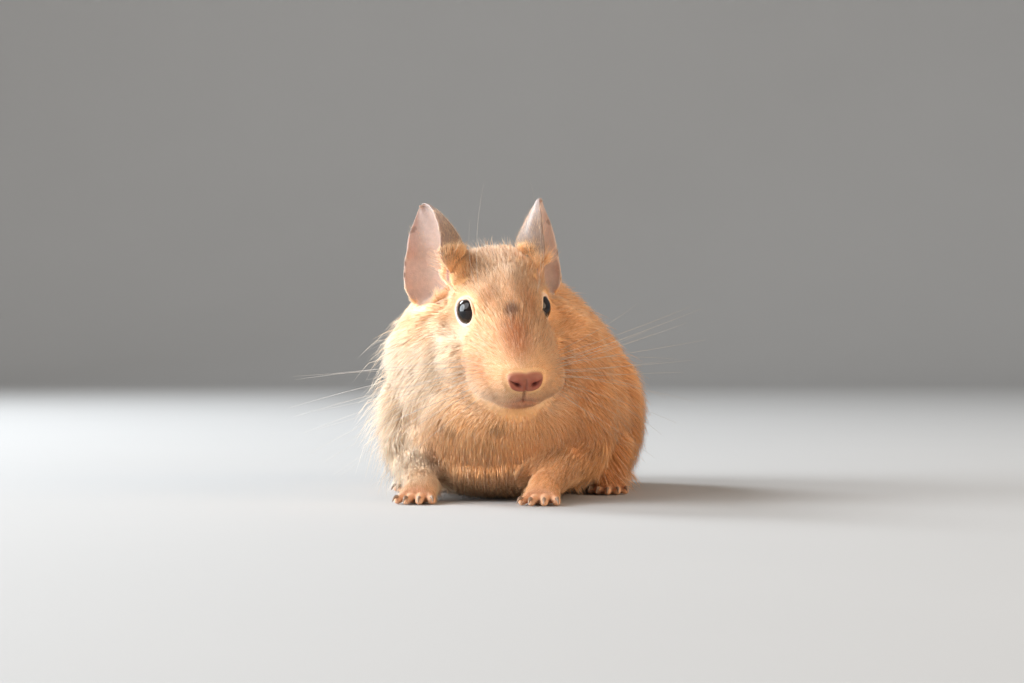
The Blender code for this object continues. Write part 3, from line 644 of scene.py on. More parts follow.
@dataclass
class Tail:
    """The line and girth of the tail, which lies along the floor behind the rump."""

    places: Places
    root: tuple = (0, 55, 11.5)
    length: float = 112.0
    radii: tuple = (4.4, 1.7)
    heading: float = math.radians(4)
    curl: float = math.radians(-64)
    coat_depth: float = 0.9
    brush_start: float = 66.0

    def line(self, distance: float) -> tuple[float, float, float]:
        """The tail's middle, in the trunk's frame, at a distance along it."""
        share = max(distance, 0) / self.length
        x, y = self.root[0], self.root[1]
        for i in range(24):
            heading = self.heading + self.curl * ((i + 0.5) / 24 * share) ** 1.5
            x += math.sin(heading) * distance / 24
            y += math.cos(heading) * distance / 24
        settle_down = 0.5 + 0.5 * math.cos(math.pi * min(1, max(distance, 0) / 34))
        low = self.radius(distance) - 0.25
        return (x, y, low + (self.root[2] - low) * settle_down)

    def radius(self, distance: float) -> float:
        """Girth with its hair, at a distance along the tail."""
        share = max(distance, 0) / self.length
        return self.radii[0] + (self.radii[1] - self.radii[0]) * share**0.8

    def samples(self, count: int = 90, start: float = -6) -> tuple[Array, Array, Array]:
        """Distances, world places and directions along the tail."""
        distance = np.linspace(start, self.length, count)
        line = moved(np.array([self.line(d) for d in distance]), self.places.trunk())
        return distance, line, unit(np.gradient(line, axis=0))

    def form(self) -> Object:
        """The fleshy core of the tail as a closed tube."""
        distance, line, _ = self.samples(60)
        radii = [max(self.radius(d) - self.coat_depth, 0.75) for d in distance]
        line[:, 2] = np.maximum(line[:, 2], np.array(radii) + 0.15)
        return tube("tail_core", line, np.array(radii), 14)


@dataclass
class Ear:
    """A thin cupped leaf, open outward, whose rolled root runs down into the head."""

    side: Side
    places: Places
    tilt: float
    turn: float
    shift: float
    root: tuple = (12.2, -13, 3)
    tip: tuple = (14.6, -26, 16.5)
    looks: tuple = (0.934, 0.315, 0.17)
    width: float = 1.0
    forward_by: float = 0.0
    thickness: float = 0.78
    rim_thickness: float = 0.30
    stations: tuple = (
        (-8.5, 1.4, -2.6, 3.2, -80, 30),
        (-6.5, 2.2, -2.6, 4.6, -90, 46),
        (-4, 3.3, -2.4, 6.9, -106, 62),
        (-1, 4, -1.8, 8.3, -112, 82),
        (3, 4.6, -0.8, 9.4, -106, 96),
        (7, 4.8, 0, 9.8, -97, 92),
        (11, 5.2, 0.3, 8.9, -88, 83),
        (14.5, 5, 0.3, 7.2, -79, 75),
        (17.3, 4.1, 0.2, 4.9, -70, 66),
        (19.2, 3.1, 0, 2.8, -60, 58),
        (19.9, 2.7, 0, 1.3, -50, 50),
    )
    nick: float = 10.8
    floor: tuple = ((-8, 0.8), (-6.8, 0.96), (-5.9, 0.9), (-5.2, 0.65), (-4.9, 0.3))

    def table(self) -> Array:
        """Rows up the ear: level, outward and forward place, radius, and angles of its rims."""
        return np.array(self.stations, float) * (1, 1, 1, self.width, 1, 1) + (0, 0, self.forward_by, 0, 0, 0)

    def at(self, up: Array, *columns: int) -> list[Array]:
        """Columns of the table at these distances up the ear."""
        table = self.table()
        return [np.interp(up, table[:, 0], table[:, k]) for k in columns]

    def axes(self) -> tuple[Array, Array, Array]:
        """The way up the ear, outward from its back, and to its front rim."""
        rise = unit(np.array(self.tip) - np.array(self.root))
        look = np.array(self.looks)
        look = unit(look - rise * (look @ rise))
        front = np.cross(rise, look)
        cos, sin = math.cos(self.turn), math.sin(self.turn)
        return rise, look * cos - front * sin, front * cos + look * sin

    def setting(self) -> Matrix:
        """Carries the ear, made in the head's frame, to where it is held in the world."""
        root = Vector((self.side.value * self.root[0], self.root[1], self.root[2]))
        there = Matrix.Translation(root + Vector((self.shift, 0, 0)))
        return self.places.head() @ there @ Matrix.Rotation(-self.tilt, 4, "Y") @ Matrix.Translation(-root)

    def to_world(self, up: Array, across: Array, outward_by: Array) -> Array:
        """World places from distances up the ear, towards its front rim, and outward."""
        rise, look, front = self.axes()
        points = np.array(self.root) + up[..., None] * rise
        points = points + across[..., None] * front + outward_by[..., None] * look
        return moved(points * (self.side.value, 1, 1), self.setting())

    def local(self, world: Array) -> tuple[Array, Array, Array]:
        """Distance up the ear, angle round its cup and reach beyond the cup's wall, for world points."""
        points = moved(world, self.setting().inverted()) * (self.side.value, 1, 1) - self.root
        rise, look, front = self.axes()
        up = points @ rise
        outward_by, forward, radius = self.at(up, 1, 2, 3)
        across, depth = points @ front - forward, outward_by - points @ look
        return up, np.degrees(np.arctan2(across, depth)), np.hypot(across, depth) - radius

    def on_wall(self, world: Array, inside: bool) -> Array:
        """How surely each world point lies in the cup, or on the outer face of the ear."""
        up, angle, reach = self.local(world)
        rear, fore = self.at(up, 4, 5)
        near = (up > -7) & (up < 20.8) & (angle > rear - 9) & (angle < fore + 9)
        if inside:
            far = ramp(-1.4, -2.6, reach) * ramp(5, 2, up)
            return near * (reach < 0) * (1 - 0.8 * far)
        limit = 0.72 + 0.35 * ramp(3, 6.5, up)
        near = near * (reach >= 0) * ramp(-1, 4, up)
        return near * ramp(0, -0.22, reach - limit)

    def tuft(self, world: Array) -> Array:
        """1 where longer fur climbs the foot of the ear's outer face."""
        up, angle, _ = self.local(world)
        brink = 95 if self.side == Side.LEFT else 118
        foot = ramp(6.5, 2.5, up) * ramp(brink, brink - 35, angle) * (angle > -70)
        return self.on_wall(world, False) * foot

    def room(self, world: Array) -> Array:
        """How far each world point lies from the ear's wall, or a large number away from it."""
        up, _, reach = self.local(world)
        return np.where((up > -9) & (up < 16), np.abs(reach), 50) + 1.8 * np.maximum(-5.5 - up, 0)

    def cleared(self, world: Array) -> Array:
        """Presses the side of the head back inside the cup, so that the ear's lobe stands free."""
        up, angle, reach = self.local(world)
        press = ramp(2.2, -1, reach) * ramp(5, 1, up) * ramp(-10.5, -7, up)
        press = press * (reach > -12) * (1 - 0.4 * ramp(30, 60, angle) * ramp(160, 130, angle))
        look = self.to_world(*np.zeros((2, 1)), np.ones(1)) - self.to_world(*np.zeros((3, 1)))
        return world - 3.1 * press[:, None] * unit(look)

    def around(self, up: Array, angle: Array, reach: Array) -> Array:
        """World places at an angle round the middle of the cup, and at a reach from it."""
        outward_by, forward = self.at(up, 1, 2)
        return self.to_world(up, forward + reach * np.sin(angle), outward_by - reach * np.cos(angle))

    def shell(self, columns: int = 46, steps: int = 7) -> Object:
        """The leaf itself, thin at its rim, with faint ribs running up it."""
        rows = eased(self.table(), steps)
        share = np.linspace(0, 1, columns + 1)
        up, outward_by, forward, radius, rear, fore = (rows[:, k][:, None] for k in range(6))
        angle = np.radians(rear + (fore - rear) * share)
        rim = np.abs(2 * share - 1) ** 5
        thick = self.rim_thickness + (self.thickness - self.rim_thickness) * (1 - rim)
        thick = thick * np.linspace(1, 0.6, len(rows))[:, None]
        ribs = 0.2 * np.sin(angle * 6 + up * 0.14) * np.clip((up + 2) / 6, 0, 1) * (1 - rim)
        ragged = 0.16 * np.sin(up * 1.3 + 0.7) * np.sin(up * 0.53) * rim
        ragged = ragged - 0.8 * hump(up - self.nick, 1.5) * rim * (angle < 0)
        grids = []
        for layer in (-0.5, 0.5):
            reach = radius + ribs + thick * layer
            across = forward + (reach + ragged) * np.sin(angle)
            depth = outward_by - reach * np.cos(angle)
            grids.append(self.to_world(up + 0 * angle, across, depth))
        return self._sheet(grids, len(rows), columns)

    def _sheet(self, grids: list[Array], rows: int, columns: int) -> Object:
        """Closes an inner and an outer grid of points into one thin wall."""
        width = columns + 1
        count = rows * width
        faces = []
        for base in (0, count):
            for r in range(rows - 1):
                for c in range(columns):
                    low = base + r * width + c
                    faces.append((low, low + 1, low + width + 1, low + width))
        for c in (0, columns):
            for r in range(rows - 1):
                low = r * width + c
                faces.append((low, low + count, low + count + width, low + width))
        for r in (0, rows - 1):
            for c in range(columns):
                low = r * width + c
                faces.append((low, low + 1, low + count + 1, low + count))
        points = np.vstack([grid.reshape(-1, 3) for grid in grids])
        return outward(mesh_object("ear_leaf", points, faces))

    def filling(self, columns: int = 26) -> Object:
        """The furry floor of the cup, from deep in the head to its rounded top."""
        rings = []
        for up, share in eased(self.floor, 4):
            radius, rear, fore = self.at(up, 3, 4, 5)
            angle = np.radians(np.linspace(rear, fore, columns + 1))
            rings.append(self.around(np.full(columns + 1, up), angle, radius * share))
        return loft("ear_floor", np.array(rings))


@dataclass
class Foot:
    """A foot flat on the floor, with its toes in a fan."""

    side: Side
    places: Places
    start: tuple
    ball: float
    toes: tuple
    toe_radius: float
    toe_step: float
    fan: float
    curve: float
    stations: tuple
    voxel: float
    splay: float = 0.0

    def axes(self) -> tuple[Array, Array, Array]:
        """The foot's hind end, the way it points and the way across it."""
        sign = self.side.value
        heading = np.array((sign * math.sin(self.splay), -math.cos(self.splay), 0))
        across = np.array((-heading[1], heading[0], 0))
        return np.array((sign * self.start[0], self.start[1], 0)), heading, across

    def digits(self) -> list[tuple[Array, Array, float]]:
        """Root, heading and length of each toe, in the trunk's frame."""
        start, line, across = self.axes()
        middle = (len(self.toes) - 1) / 2
        found = []
        for i, length in enumerate(self.toes):
            spread = (i - middle) / middle
            angle = self.side.value * self.splay + spread * self.fan
            root = start + line * (self.ball - self.curve * abs(spread)) + across * (spread * self.toe_step)
            root[2] = 0.95
            found.append((root, np.array((math.sin(angle), -math.cos(angle), 0)), length))
        return found

    def form(self) -> Object:
        """The foot as one closed form in the world."""
        start, line, across = self.axes()
        angle = np.arange(24) * math.tau / 24
        rings = []
        for ahead, half, middle, height in eased(self.stations, 3):
            ring = start + line * ahead + across * (half * np.cos(angle))[:, None]
            ring[:, 2] = middle + height * np.sin(angle)
            rings.append(ring)
        parts = [loft("sole", np.array(rings))]
        for root, heading, length in self.digits():
            parts += toe_forms(root, heading, length, self.toe_radius)
        foot = merged(joined("foot", parts), self.voxel, 4)
        return on_floor(placed(foot, self.places.trunk()))


def forepaw(side: Side, places: Places) -> Foot:
    """A small hand with four fingers, in front of the wrist."""
    stations = (
        (-5, 3.5, 4.6, 3.6),
        (0, 3.5, 4.2, 3.6),
        (2, 3.4, 3.3, 3.2),
        (4.2, 4, 2.6, 2.6),
        (6.6, 3.8, 1.9, 1.9),
    )
    start = (places.wrist[0], places.wrist[1] - 0.3)
    fingers, fan = (5, 6.6, 6.6, 5.2), math.radians(19)
    return Foot(side, places, start, 5.3, fingers, 1.12, 2.88, fan, 0.8, stations, 0.34)


def hind_foot(side: Side, places: Places) -> Foot:
    """The long hind foot, sole down, with five toes."""
    girths = ((-1, 1.8, 2.6), (0.8, 3.2, 4.3), (6, 3.3, 4.1), (14, 3.5, 3.6), (20, 4, 3), (23, 4, 2.4))
    stations = tuple((ahead, half, 0.42 * height, 0.58 * height) for ahead, half, height in girths)
    toes, fan, splay = (5.6, 7.8, 8.6, 7.8, 5.2), math.radians(15), math.radians(5)
    return Foot(side, places, (24, 21), 21.4, toes, 1.15, 3.3, fan, 1.6, stations, 0.42, splay)


def toe_forms(root: Array, heading: Array, length: float, radius: float) -> list[Object]:
    """A toe with its knuckles and the round pad under its end.

    Args:
        root: Where it leaves the foot.
        heading: The way it points.
        length: Its length to the claw.
        radius: Its radius at the root.

    Returns:
        The forms, which overlap.
    """
    share = np.array((-0.3, 0, 0.3, 0.55, 0.8, 0.98))
    lift = np.array((0.5, 0.62, 0.62, 0.38, 0.22, 0.12))
    girth = np.array((1, 1, 1.06, 0.92, 0.92, 0.6)) * radius
    line = root + heading * (length * share)[:, None]
    line[:, 2] = line[:, 2] + radius * lift
    pad = root + heading * (length * 0.82)
    return [tube("toe", line, girth, 10), ellipsoid("pad", (pad[0], pad[1], 0.9), (1, 1.25, 0.9), 14)]


def on_floor(obj: Object) -> Object:
    """Lays what reaches below the floor flat on it."""
    points = points_of(obj.data)
    points[:, 2] = np.maximum(points[:, 2], 0.02)
    set_points(obj.data, points)
    return obj


@dataclass
class EyeSocket:
    """Where an eye stands in the head, and the shape of its lids' opening."""

    side: Side
    centre_aside: float = 11.5
    looks_aside: float = math.radians(63)
    looks_up: float = math.radians(9)
    radius: float = 4.3
    opening: float = 2.8

    def axis(self) -> Array:
        """The way the eye looks, in the head's frame."""
        flat = math.cos(self.looks_up)
        aside = self.side.value * math.sin(self.looks_aside) * flat
        return np.array((aside, math.cos(self.looks_aside) * flat, math.sin(self.looks_up)))

    def cornea(self) -> Array:
        """The foremost point of the eye."""
        return np.array((self.side.value * self.centre_aside, 0, 0))

    def ball(self) -> Array:
        """The middle of the eyeball."""
        return self.cornea() - self.axis() * self.radius

    def measure(self, head: Array) -> tuple[Array, Array, Array]:
        """Distance beyond the lids' opening, height along the axis and angle round it, of head points."""
        axis = self.axis()
        offset = head - self.ball()
        height = offset @ axis
        flat = offset - height[:, None] * axis
        spread = np.linalg.norm(flat, axis=1)
        level = unit(np.array((-axis[1], axis[0], 0)) * self.side.value)
        upward = np.cross(axis, level) * self.side.value
        turn = np.arctan2(flat @ upward, flat @ level)
        peak = np.maximum(np.sin(turn + 0.15), 0) ** 12
        edge = self.opening * (1 + 0.04 * np.abs(np.cos(turn)) ** 4 + 0.2 * peak)
        return spread - edge, height, turn


@dataclass
class Face:
    """Folds of the face: lids, brows, nose, nostrils, cleft and lips."""

    places: Places
    sockets: tuple[EyeSocket, EyeSocket]
    nose_up: float = -5.7
    nose_half_width: float = 4.2
    nose_half_height: float = 2.3
    nostril_side: float = 2.0
    mouth_level: float = -12.3
    mouth_reach: float = 4.8

    def nose_pad(self, head: Array) -> Array:
        """1 on the bare pad of the nose, fading over its rim."""
        rise = head[:, 2] - self.nose_up
        across = np.abs(head[:, 0]) / (self.nose_half_width * (1 + 0.07 * rise.clip(-4, 4)))
        dip = 0.15 * hump(head[:, 0], 1)
        rise = (rise + dip * (rise > 0)) / self.nose_half_height
        value = across**2.9 + np.abs(rise) ** 2.9
        return ramp(1.25, 0.85, value) * ramp(19.5, 21, head[:, 1])

    def nostril(self, head: Array, side: int) -> tuple[Array, Array]:
        """How far each point lies in a nostril's hole, and in the slit that curls up beside it."""
        x, z = head[:, 0] * side - self.nostril_side, head[:, 2] - self.nose_up + 0.5
        along, athwart = x * 0.87 + z * 0.5, z * 0.87 - x * 0.5
        hole = hump(np.hypot(along * 0.85, athwart * 1.45), 0.68)
        slit = hump(np.hypot(z - 0.35 - 0.5 * (x - 0.6), 0.4 * (x - 1.15)), 0.3)
        return hole, slit

    def lip_line(self, head: Array) -> Array:
        """Level of the mouth at each point: highest under the cleft, lower at its corners."""
        share = np.abs(head[:, 0]) / self.mouth_reach
        return self.mouth_level + 0.9 - 1.3 * np.minimum(share, 1.2) ** 1.3

    def sculpt(self, points: Array) -> Array:
        """Presses the face into the smooth head.

        Args:
            points: World places of the skin.

        Returns:
            Their new world places.
        """
        head = self.places.in_head(points)
        between = hump(head[:, 0] + 1.5, 8) * ramp(-25, -17, head[:, 1]) * ramp(0, -9, head[:, 1])
        head[:, 2] -= 1.2 * between * ramp(3, 7, head[:, 2])
        for side in (-1, 1):
            tragus = hump(np.linalg.norm((head - (side * 12.8, -9.4, 4.6)) / (1, 1, 1.3), axis=1), 3.3)
            head = head + np.outer(0.9 * tragus, (side * 0.75, 0.5, 0.35))
        for socket in self.sockets:
            head = self._open_eye(head, socket)
        head = self._shape_nose(head)
        return moved(self._part_lips(head), self.places.head())

    def _open_eye(self, head: Array, socket: EyeSocket) -> Array:
        """Sinks the socket and raises the lids round the ball."""
        axis, side = socket.axis(), socket.side.value
        offset = head - socket.cornea()
        height = offset @ axis
        spread = np.linalg.norm(offset - np.outer(height, axis), axis=1)
        near = (np.abs(height) < 9) & (head[:, 0] * side > 0)
        sunk = -(socket.radius - math.sqrt(socket.radius**2 - 3.25**2))
        pull = ramp(7.5, 3.9, spread) * near
        head = head + np.outer(pull * (sunk - height), axis)
        brow = hump(np.linalg.norm(head - (side * 8.6, 2, 7), axis=1), 3.6)
        head = head + np.outer(0.7 * brow, (side * 0.5, 0.2, 0.8))
        beyond, height, _ = socket.measure(head)
        spokes = head - socket.ball()
        far = np.linalg.norm(spokes, axis=1)
        rim = 0.34 * hump(beyond - 0.62, 0.6) - 1.5 * ramp(0.05, -0.3, beyond)
        target = socket.radius + 0.10 + rim
        weight = ramp(2.3, 0.9, beyond) * (height > 0) * (head[:, 0] * side > 0)
        crease = -0.2 * hump(beyond - 2.1, 0.4) * (height > 0) * (head[:, 0] * side > 0)
        reach = far + (target - far) * weight + crease
        return socket.ball() + spokes * (reach / np.maximum(far, 1e-6))[:, None]

    def _shape_nose(self, head: Array) -> Array:
        """Raises the pad, hollows the nostrils and cuts the cleft."""
        head = head.copy()
        across, rise = head[:, 0].copy(), head[:, 2] - self.nose_up
        front = ramp(19, 21, head[:, 1])
        head[:, 1] += 0.62 * self.nose_pad(head)
        for side in (-1, 1):
            hole, slit = self.nostril(head, side)
            head[:, 1] -= (1.15 * hole + 0.5 * slit) * front
            wing = np.hypot((across - side * 2.1) * 0.8, rise - 1)
            head[:, 1] += 0.2 * hump(wing, 0.8) * front
        cleft = ramp(1.6, 0, rise) * (rise > self.mouth_level - self.nose_up)
        head[:, 1] -= 0.35 * hump(across, 0.35) * cleft * front
        below = ramp(-1.6, -2.4, rise) * (head[:, 2] > self.mouth_level + 0.4)
        head[:, 1] -= 0.4 * hump(across, 0.42) * below * front
        return head

    def _part_lips(self, head: Array) -> Array:
        """Cuts the mouth and rolls the lips beside it."""
        level = self.lip_line(head)
        inside = ramp(self.mouth_reach + 0.4, self.mouth_reach - 1.6, np.abs(head[:, 0]))
        inside = inside * ramp(13, 15, head[:, 1])
        out = unit(np.stack([head[:, 0] * 0.55, head[:, 1] - 14, 0 * level], axis=1))
        rise = head[:, 2] - level
        groove = hump(rise, 0.34)
        lips = hump(rise - 1.1, 0.8) * ramp(0, 1.6, np.abs(head[:, 0])) + 0.5 * hump(rise + 1.3, 0.8)
        return head + out * ((0.2 * lips - 0.42 * groove) * inside)[:, None]


class Shade(Enum):
    """Colours of the coat and of bare skin; a few are painted light and shade."""

    SAND = tint(249, 208, 162)
    ORANGE = tint(242, 174, 108)
    CREAM = tint(254, 236, 212)
    RUST = tint(206, 122, 60)
    # Light orange; some of its patches are painted light and some are painted shade.
    GOLD = tint(255, 200, 138)
    # A duller muzzle tone that is also painted shade, laid only on the key-lit right side of the muzzle.
    MUZZLE = tint(226, 176, 132)
    SPOT = tint(122, 74, 46)
    CHIN = tint(228, 170, 138)
    # Dark underfur and painted shade, laid under the jaw and in the crease between the right forearm and the
    # chest.
    UNDER = tint(140, 90, 54)
    NOSE = tint(156, 96, 74)
    # The red-brown of the nose's wings, also laid as painted shade in the mouth's groove and the cleft.
    NOSE_WING = tint(158, 74, 58)
    # Painted shade in the nostrils' holes and the slits beside them.
    NOSTRIL = tint(92, 40, 34)
    LID = tint(70, 52, 50)
    LID_PALE = tint(226, 214, 212)
    EAR_INNER = tint(206, 182, 168)
    EAR_OUTER = tint(134, 112, 98)
    EAR_PALE = tint(186, 170, 164)
    EAR_LOBE = tint(236, 214, 202)
    # Painted shade deep in the ear's cup.
    EAR_DEEP = tint(156, 92, 70)
    PAW = tint(232, 186, 156)
    TAIL = tint(178, 126, 84)
    BRUSH = tint(64, 46, 38)


@dataclass(frozen=True)
class Patch:
    """One patch of colour on the animal, in the head's or the trunk's frame."""

    shade: Shade
    centre: tuple
    semi: tuple
    strength: float = 1.0
    on_head: bool = True
    soft: float = 0.6

    def share(self, head: Array, trunk: Array) -> Array:
        """How much of the patch's colour each point takes."""
        points = head if self.on_head else trunk
        away = np.linalg.norm((points - self.centre) / self.semi, axis=1)
        return self.strength * ramp(1.0 + self.soft, 1.0 - self.soft, away)


@dataclass
class Markings:
    """Where each colour lies, the same for skin and coat, with some patches of painted light and shade."""

    places: Places
    face: Face
    ears: tuple[Ear, Ear]
    tail: Tail
    patches: tuple[Patch, ...] = (
        Patch(Shade.ORANGE, (0, 22, 50), (30, 50, 26), 0.6, False),
        # Painted light and shade, partly the coat's own two tones: the animal's right flank, shoulder and
        # forearm, toward the key lamp, are paled to cream, and its left flank is deepened to orange as if in
        # warm shade.
        Patch(Shade.ORANGE, (30, 0, 22), (16, 60, 34), 0.75, False),
        Patch(Shade.CREAM, (-32, 0, 22), (18, 60, 36), 0.8, False),
        Patch(Shade.CREAM, (-28, -18, 18), (11, 18, 20), 0.8, False),
        Patch(Shade.CREAM, (-18.5, -34, 8), (7.5, 12, 9), 0.8, False),
        Patch(Shade.ORANGE, (5, -46, 9), (13, 14, 12), 0.5, False),
        # Painted shade: gold on the key-lit top of the right shoulder, so that it shows less white.
        Patch(Shade.GOLD, (-23, -18, 49), (10, 13, 6), 0.6, False),
        Patch(Shade.GOLD, (-2, -45, 17), (20, 9, 8), 0.6, False),
        # Painted light, partly the coat's own paler cheek: cream on the key-lit right cheek only.
        Patch(Shade.CREAM, (-20, -4, -12), (11, 17, 14), 0.85),
        # Painted shade: gold on the key-lit ledge below the right ear's lobe.
        Patch(Shade.GOLD, (-15, -11, -7), (8, 9, 6), 0.65),
        # Painted shade, partly a duller tone: darkens the key-lit right side of the muzzle.
        Patch(Shade.MUZZLE, (-7, 17.5, -5.5), (6, 8, 7.5), 0.9),
        # Painted shade: a little orange on the key-lit side of the head before the right ear.
        Patch(Shade.ORANGE, (-14, -7, 1), (6, 8, 5), 0.15),
        Patch(Shade.CREAM, (-9, 19, -13), (6, 6, 4.5), 0.4),
        Patch(Shade.CREAM, (7, 18, -13.5), (6, 6, 4), 0.4),
        Patch(Shade.CREAM, (-2, -5, 10), (10, 12, 5), 0.35),
        Patch(Shade.CREAM, (-11.5, 2, -5.5), (5, 5, 3), 0.5),
        Patch(Shade.ORANGE, (1, 8, 6.5), (6, 8, 5), 0.3),
        Patch(Shade.RUST, (-0.8, 17, 1.5), (2.8, 6.5, 4), 0.75, True, 0.8),
        Patch(Shade.SPOT, (-0.9, 11.2, 5.6), (1.7, 2.2, 2.5), 0.85),
        Patch(Shade.SPOT, (-3.2, 7, 8), (1, 4.2, 2.5), 0.4, True, 0.8),
        Patch(Shade.RUST, (-5.2, 6, 7), (1.4, 5, 3), 0.35, True, 0.8),
        Patch(Shade.RUST, (4.4, 9, 6), (1.8, 5, 3), 0.45, True, 0.8),
        Patch(Shade.RUST, (-8.6, 17.5, -5), (2.6, 4, 1.6), 0.35, True, 0.8),
        Patch(Shade.RUST, (-10, 14, -8), (2.6, 3.6, 1), 0.3, True, 0.8),
        # The orange tufts at the ears' foot, partly painted light: lightened to gold against the shadow that
        # the ear casts there.
        Patch(Shade.GOLD, (-10.6, -8.8, 8.2), (3.4, 3.4, 3.4), 0.9),
        Patch(Shade.GOLD, (7.4, -10.4, 9), (3, 3, 2.8), 0.9),
        Patch(Shade.CHIN, (0, 24, -12.3), (3.7, 4.5, 2.9), 0.85, True, 0.45),
        # Dark underfur and painted shade under the jaw.
        Patch(Shade.UNDER, (-5, 19.5, -20.4), (2, 4, 1), 0.55),
        Patch(Shade.UNDER, (-15.5, 15, -22.4), (3, 4, 1), 0.45),
        # Painted shade, with dark underfur, in the crease between the right forearm and the chest.
        Patch(Shade.UNDER, (-13.6, -41, 12.6), (2.4, 4, 2.8), 0.75, False),
        Patch(Shade.UNDER, (-10.2, -41, 8.4), (1.6, 4, 3.4), 0.45, False),
    )

    def colours(self, world: Array) -> Array:
        """The marking at each world point, with its painted light and shade.

        Args:
            world: Points in millimetres.

        Returns:
            Rows of linear red, green and blue.
        """
        head, trunk = self.places.in_head(world), self.places.in_trunk(world)
        found = np.tile(np.array(Shade.SAND.value[:3]), (len(world), 1))
        for patch in self.patches:
            found = self._laid(found, patch.shade, patch.share(head, trunk))
        found = self._laid(found, Shade.PAW, self.on_feet(trunk) * 0.8)
        along = self.along_tail(world)
        on_tail = ramp(54, 66, trunk[:, 1]) * (trunk[:, 2] < 24)
        found = self._laid(found, Shade.TAIL, on_tail)
        return self._laid(found, Shade.BRUSH, on_tail * ramp(56, 80, along))

    def bare_colours(self, world: Array) -> tuple[Array, Array]:
        """The skin's own colour where no coat covers it.

        Args:
            world: Points in millimetres.

        Returns:
            Colours of the skin with its bare parts, and how bare each point is.
        """
        head = self.places.in_head(world)
        found, bare = self.colours(world) * (0.84, 0.76, 0.67), np.zeros(len(world))
        pad = self.face.nose_pad(head)
        layers = [(Shade.NOSE, pad)]
        rise = head[:, 2] - self.face.nose_up
        for side in (-1, 1):
            hole, slit = self.face.nostril(head, side)
            wing = hump(np.hypot(head[:, 0] - side * 2.3, rise + 0.2), 1.5)
            layers.append((Shade.NOSE_WING, 0.7 * wing * pad))
            # Painted shade: darkens the nostrils' holes and the slits that curl up beside them.
            layers.append((Shade.NOSTRIL, np.clip(hole * 1.1 + 0.5 * slit, 0, 1) * (head[:, 1] > 19)))
        # Painted shade: the mouth's groove and the cleft under the nose are darkened with the colour of the
        # nose's wings.
        groove = hump(head[:, 2] - self.face.lip_line(head), 0.6)
        groove = groove * (np.abs(head[:, 0]) < self.face.mouth_reach)
        layers.append((Shade.NOSE_WING, 0.28 * groove * (head[:, 1] > 19)))
        cleft = hump(head[:, 0], 0.45) * (rise < -1) * (head[:, 2] > self.face.mouth_level)
        layers.append((Shade.NOSE_WING, 0.45 * cleft * (head[:, 1] > 21)))
        for socket in self.face.sockets:
            beyond, height, turn = socket.measure(head)
            near = (height > 0) & (head[:, 0] * socket.side.value > 0)
            low = 0.4 + 0.6 * ramp(0.5, -0.5, np.sin(turn))
            low = low * (1 - 0.5 * ramp(0.3, 0.8, np.cos(turn)))
            layers.append((Shade.LID_PALE, ramp(1.45, 0.9, beyond) * near * low))
            layers.append((Shade.LID, ramp(0.3, 0.05, beyond) * near))
        for ear in self.ears:
            up, angle, _ = ear.local(world)
            pale = ramp(8, 19, up) + ramp(1.5, -2, up)
            inner, outer = ear.on_wall(world, True), ear.on_wall(world, False)
            layers += [(Shade.EAR_INNER, inner), (Shade.EAR_OUTER, outer)]
            layers.append((Shade.EAR_PALE, (inner + outer) * pale * 0.6))
            layers.append((Shade.EAR_LOBE, 0.85 * (inner + outer) * ramp(-0.5, -4, up)))
            # Painted shade low in the cup, toward its front wall.
            layers.append((Shade.EAR_DEEP, 0.9 * inner * hump(up - 1, 5.5) * ramp(-40, 25, angle)))
        for shade, share in layers:
            found = self._laid(found, shade, share)
            bare = np.maximum(bare, share)
        return found, np.clip(bare, 0, 1)

    @staticmethod
    def _laid(found: Array, shade: Shade, share: Array) -> Array:
        """Lays one colour over the others by its share."""
        share = np.clip(share, 0, 1)[:, None]
        return found * (1 - share) + np.array(shade.value[:3]) * share

    @staticmethod
    def on_feet(trunk: Array) -> Array:
        """1 on the paws and hind feet, fading up the limbs."""
        side = np.abs(trunk[:, 0])
        fore = (np.abs(side - 15.5) < 8) * ramp(-45, -48.5, trunk[:, 1]) * (trunk[:, 2] < 7)
        hind = (np.abs(side - 23.5) < 9) * ramp(24, 20, trunk[:, 1]) * ramp(6.4, 4.2, trunk[:, 2])
        return np.maximum(fore, hind * (trunk[:, 1] > -16))

    def along_tail(self, world: Array) -> Array:
        """Distance along the tail of the part of it nearest each point."""
        distance, line, _ = self.tail.samples()
        found = np.zeros(len(world))
        for start in range(0, len(world), 20000):
            chunk = world[start : start + 20000]
            away = np.linalg.norm(chunk[:, None] - line[None], axis=2)
            found[start : start + 20000] = distance[away.argmin(axis=1)]
        return found


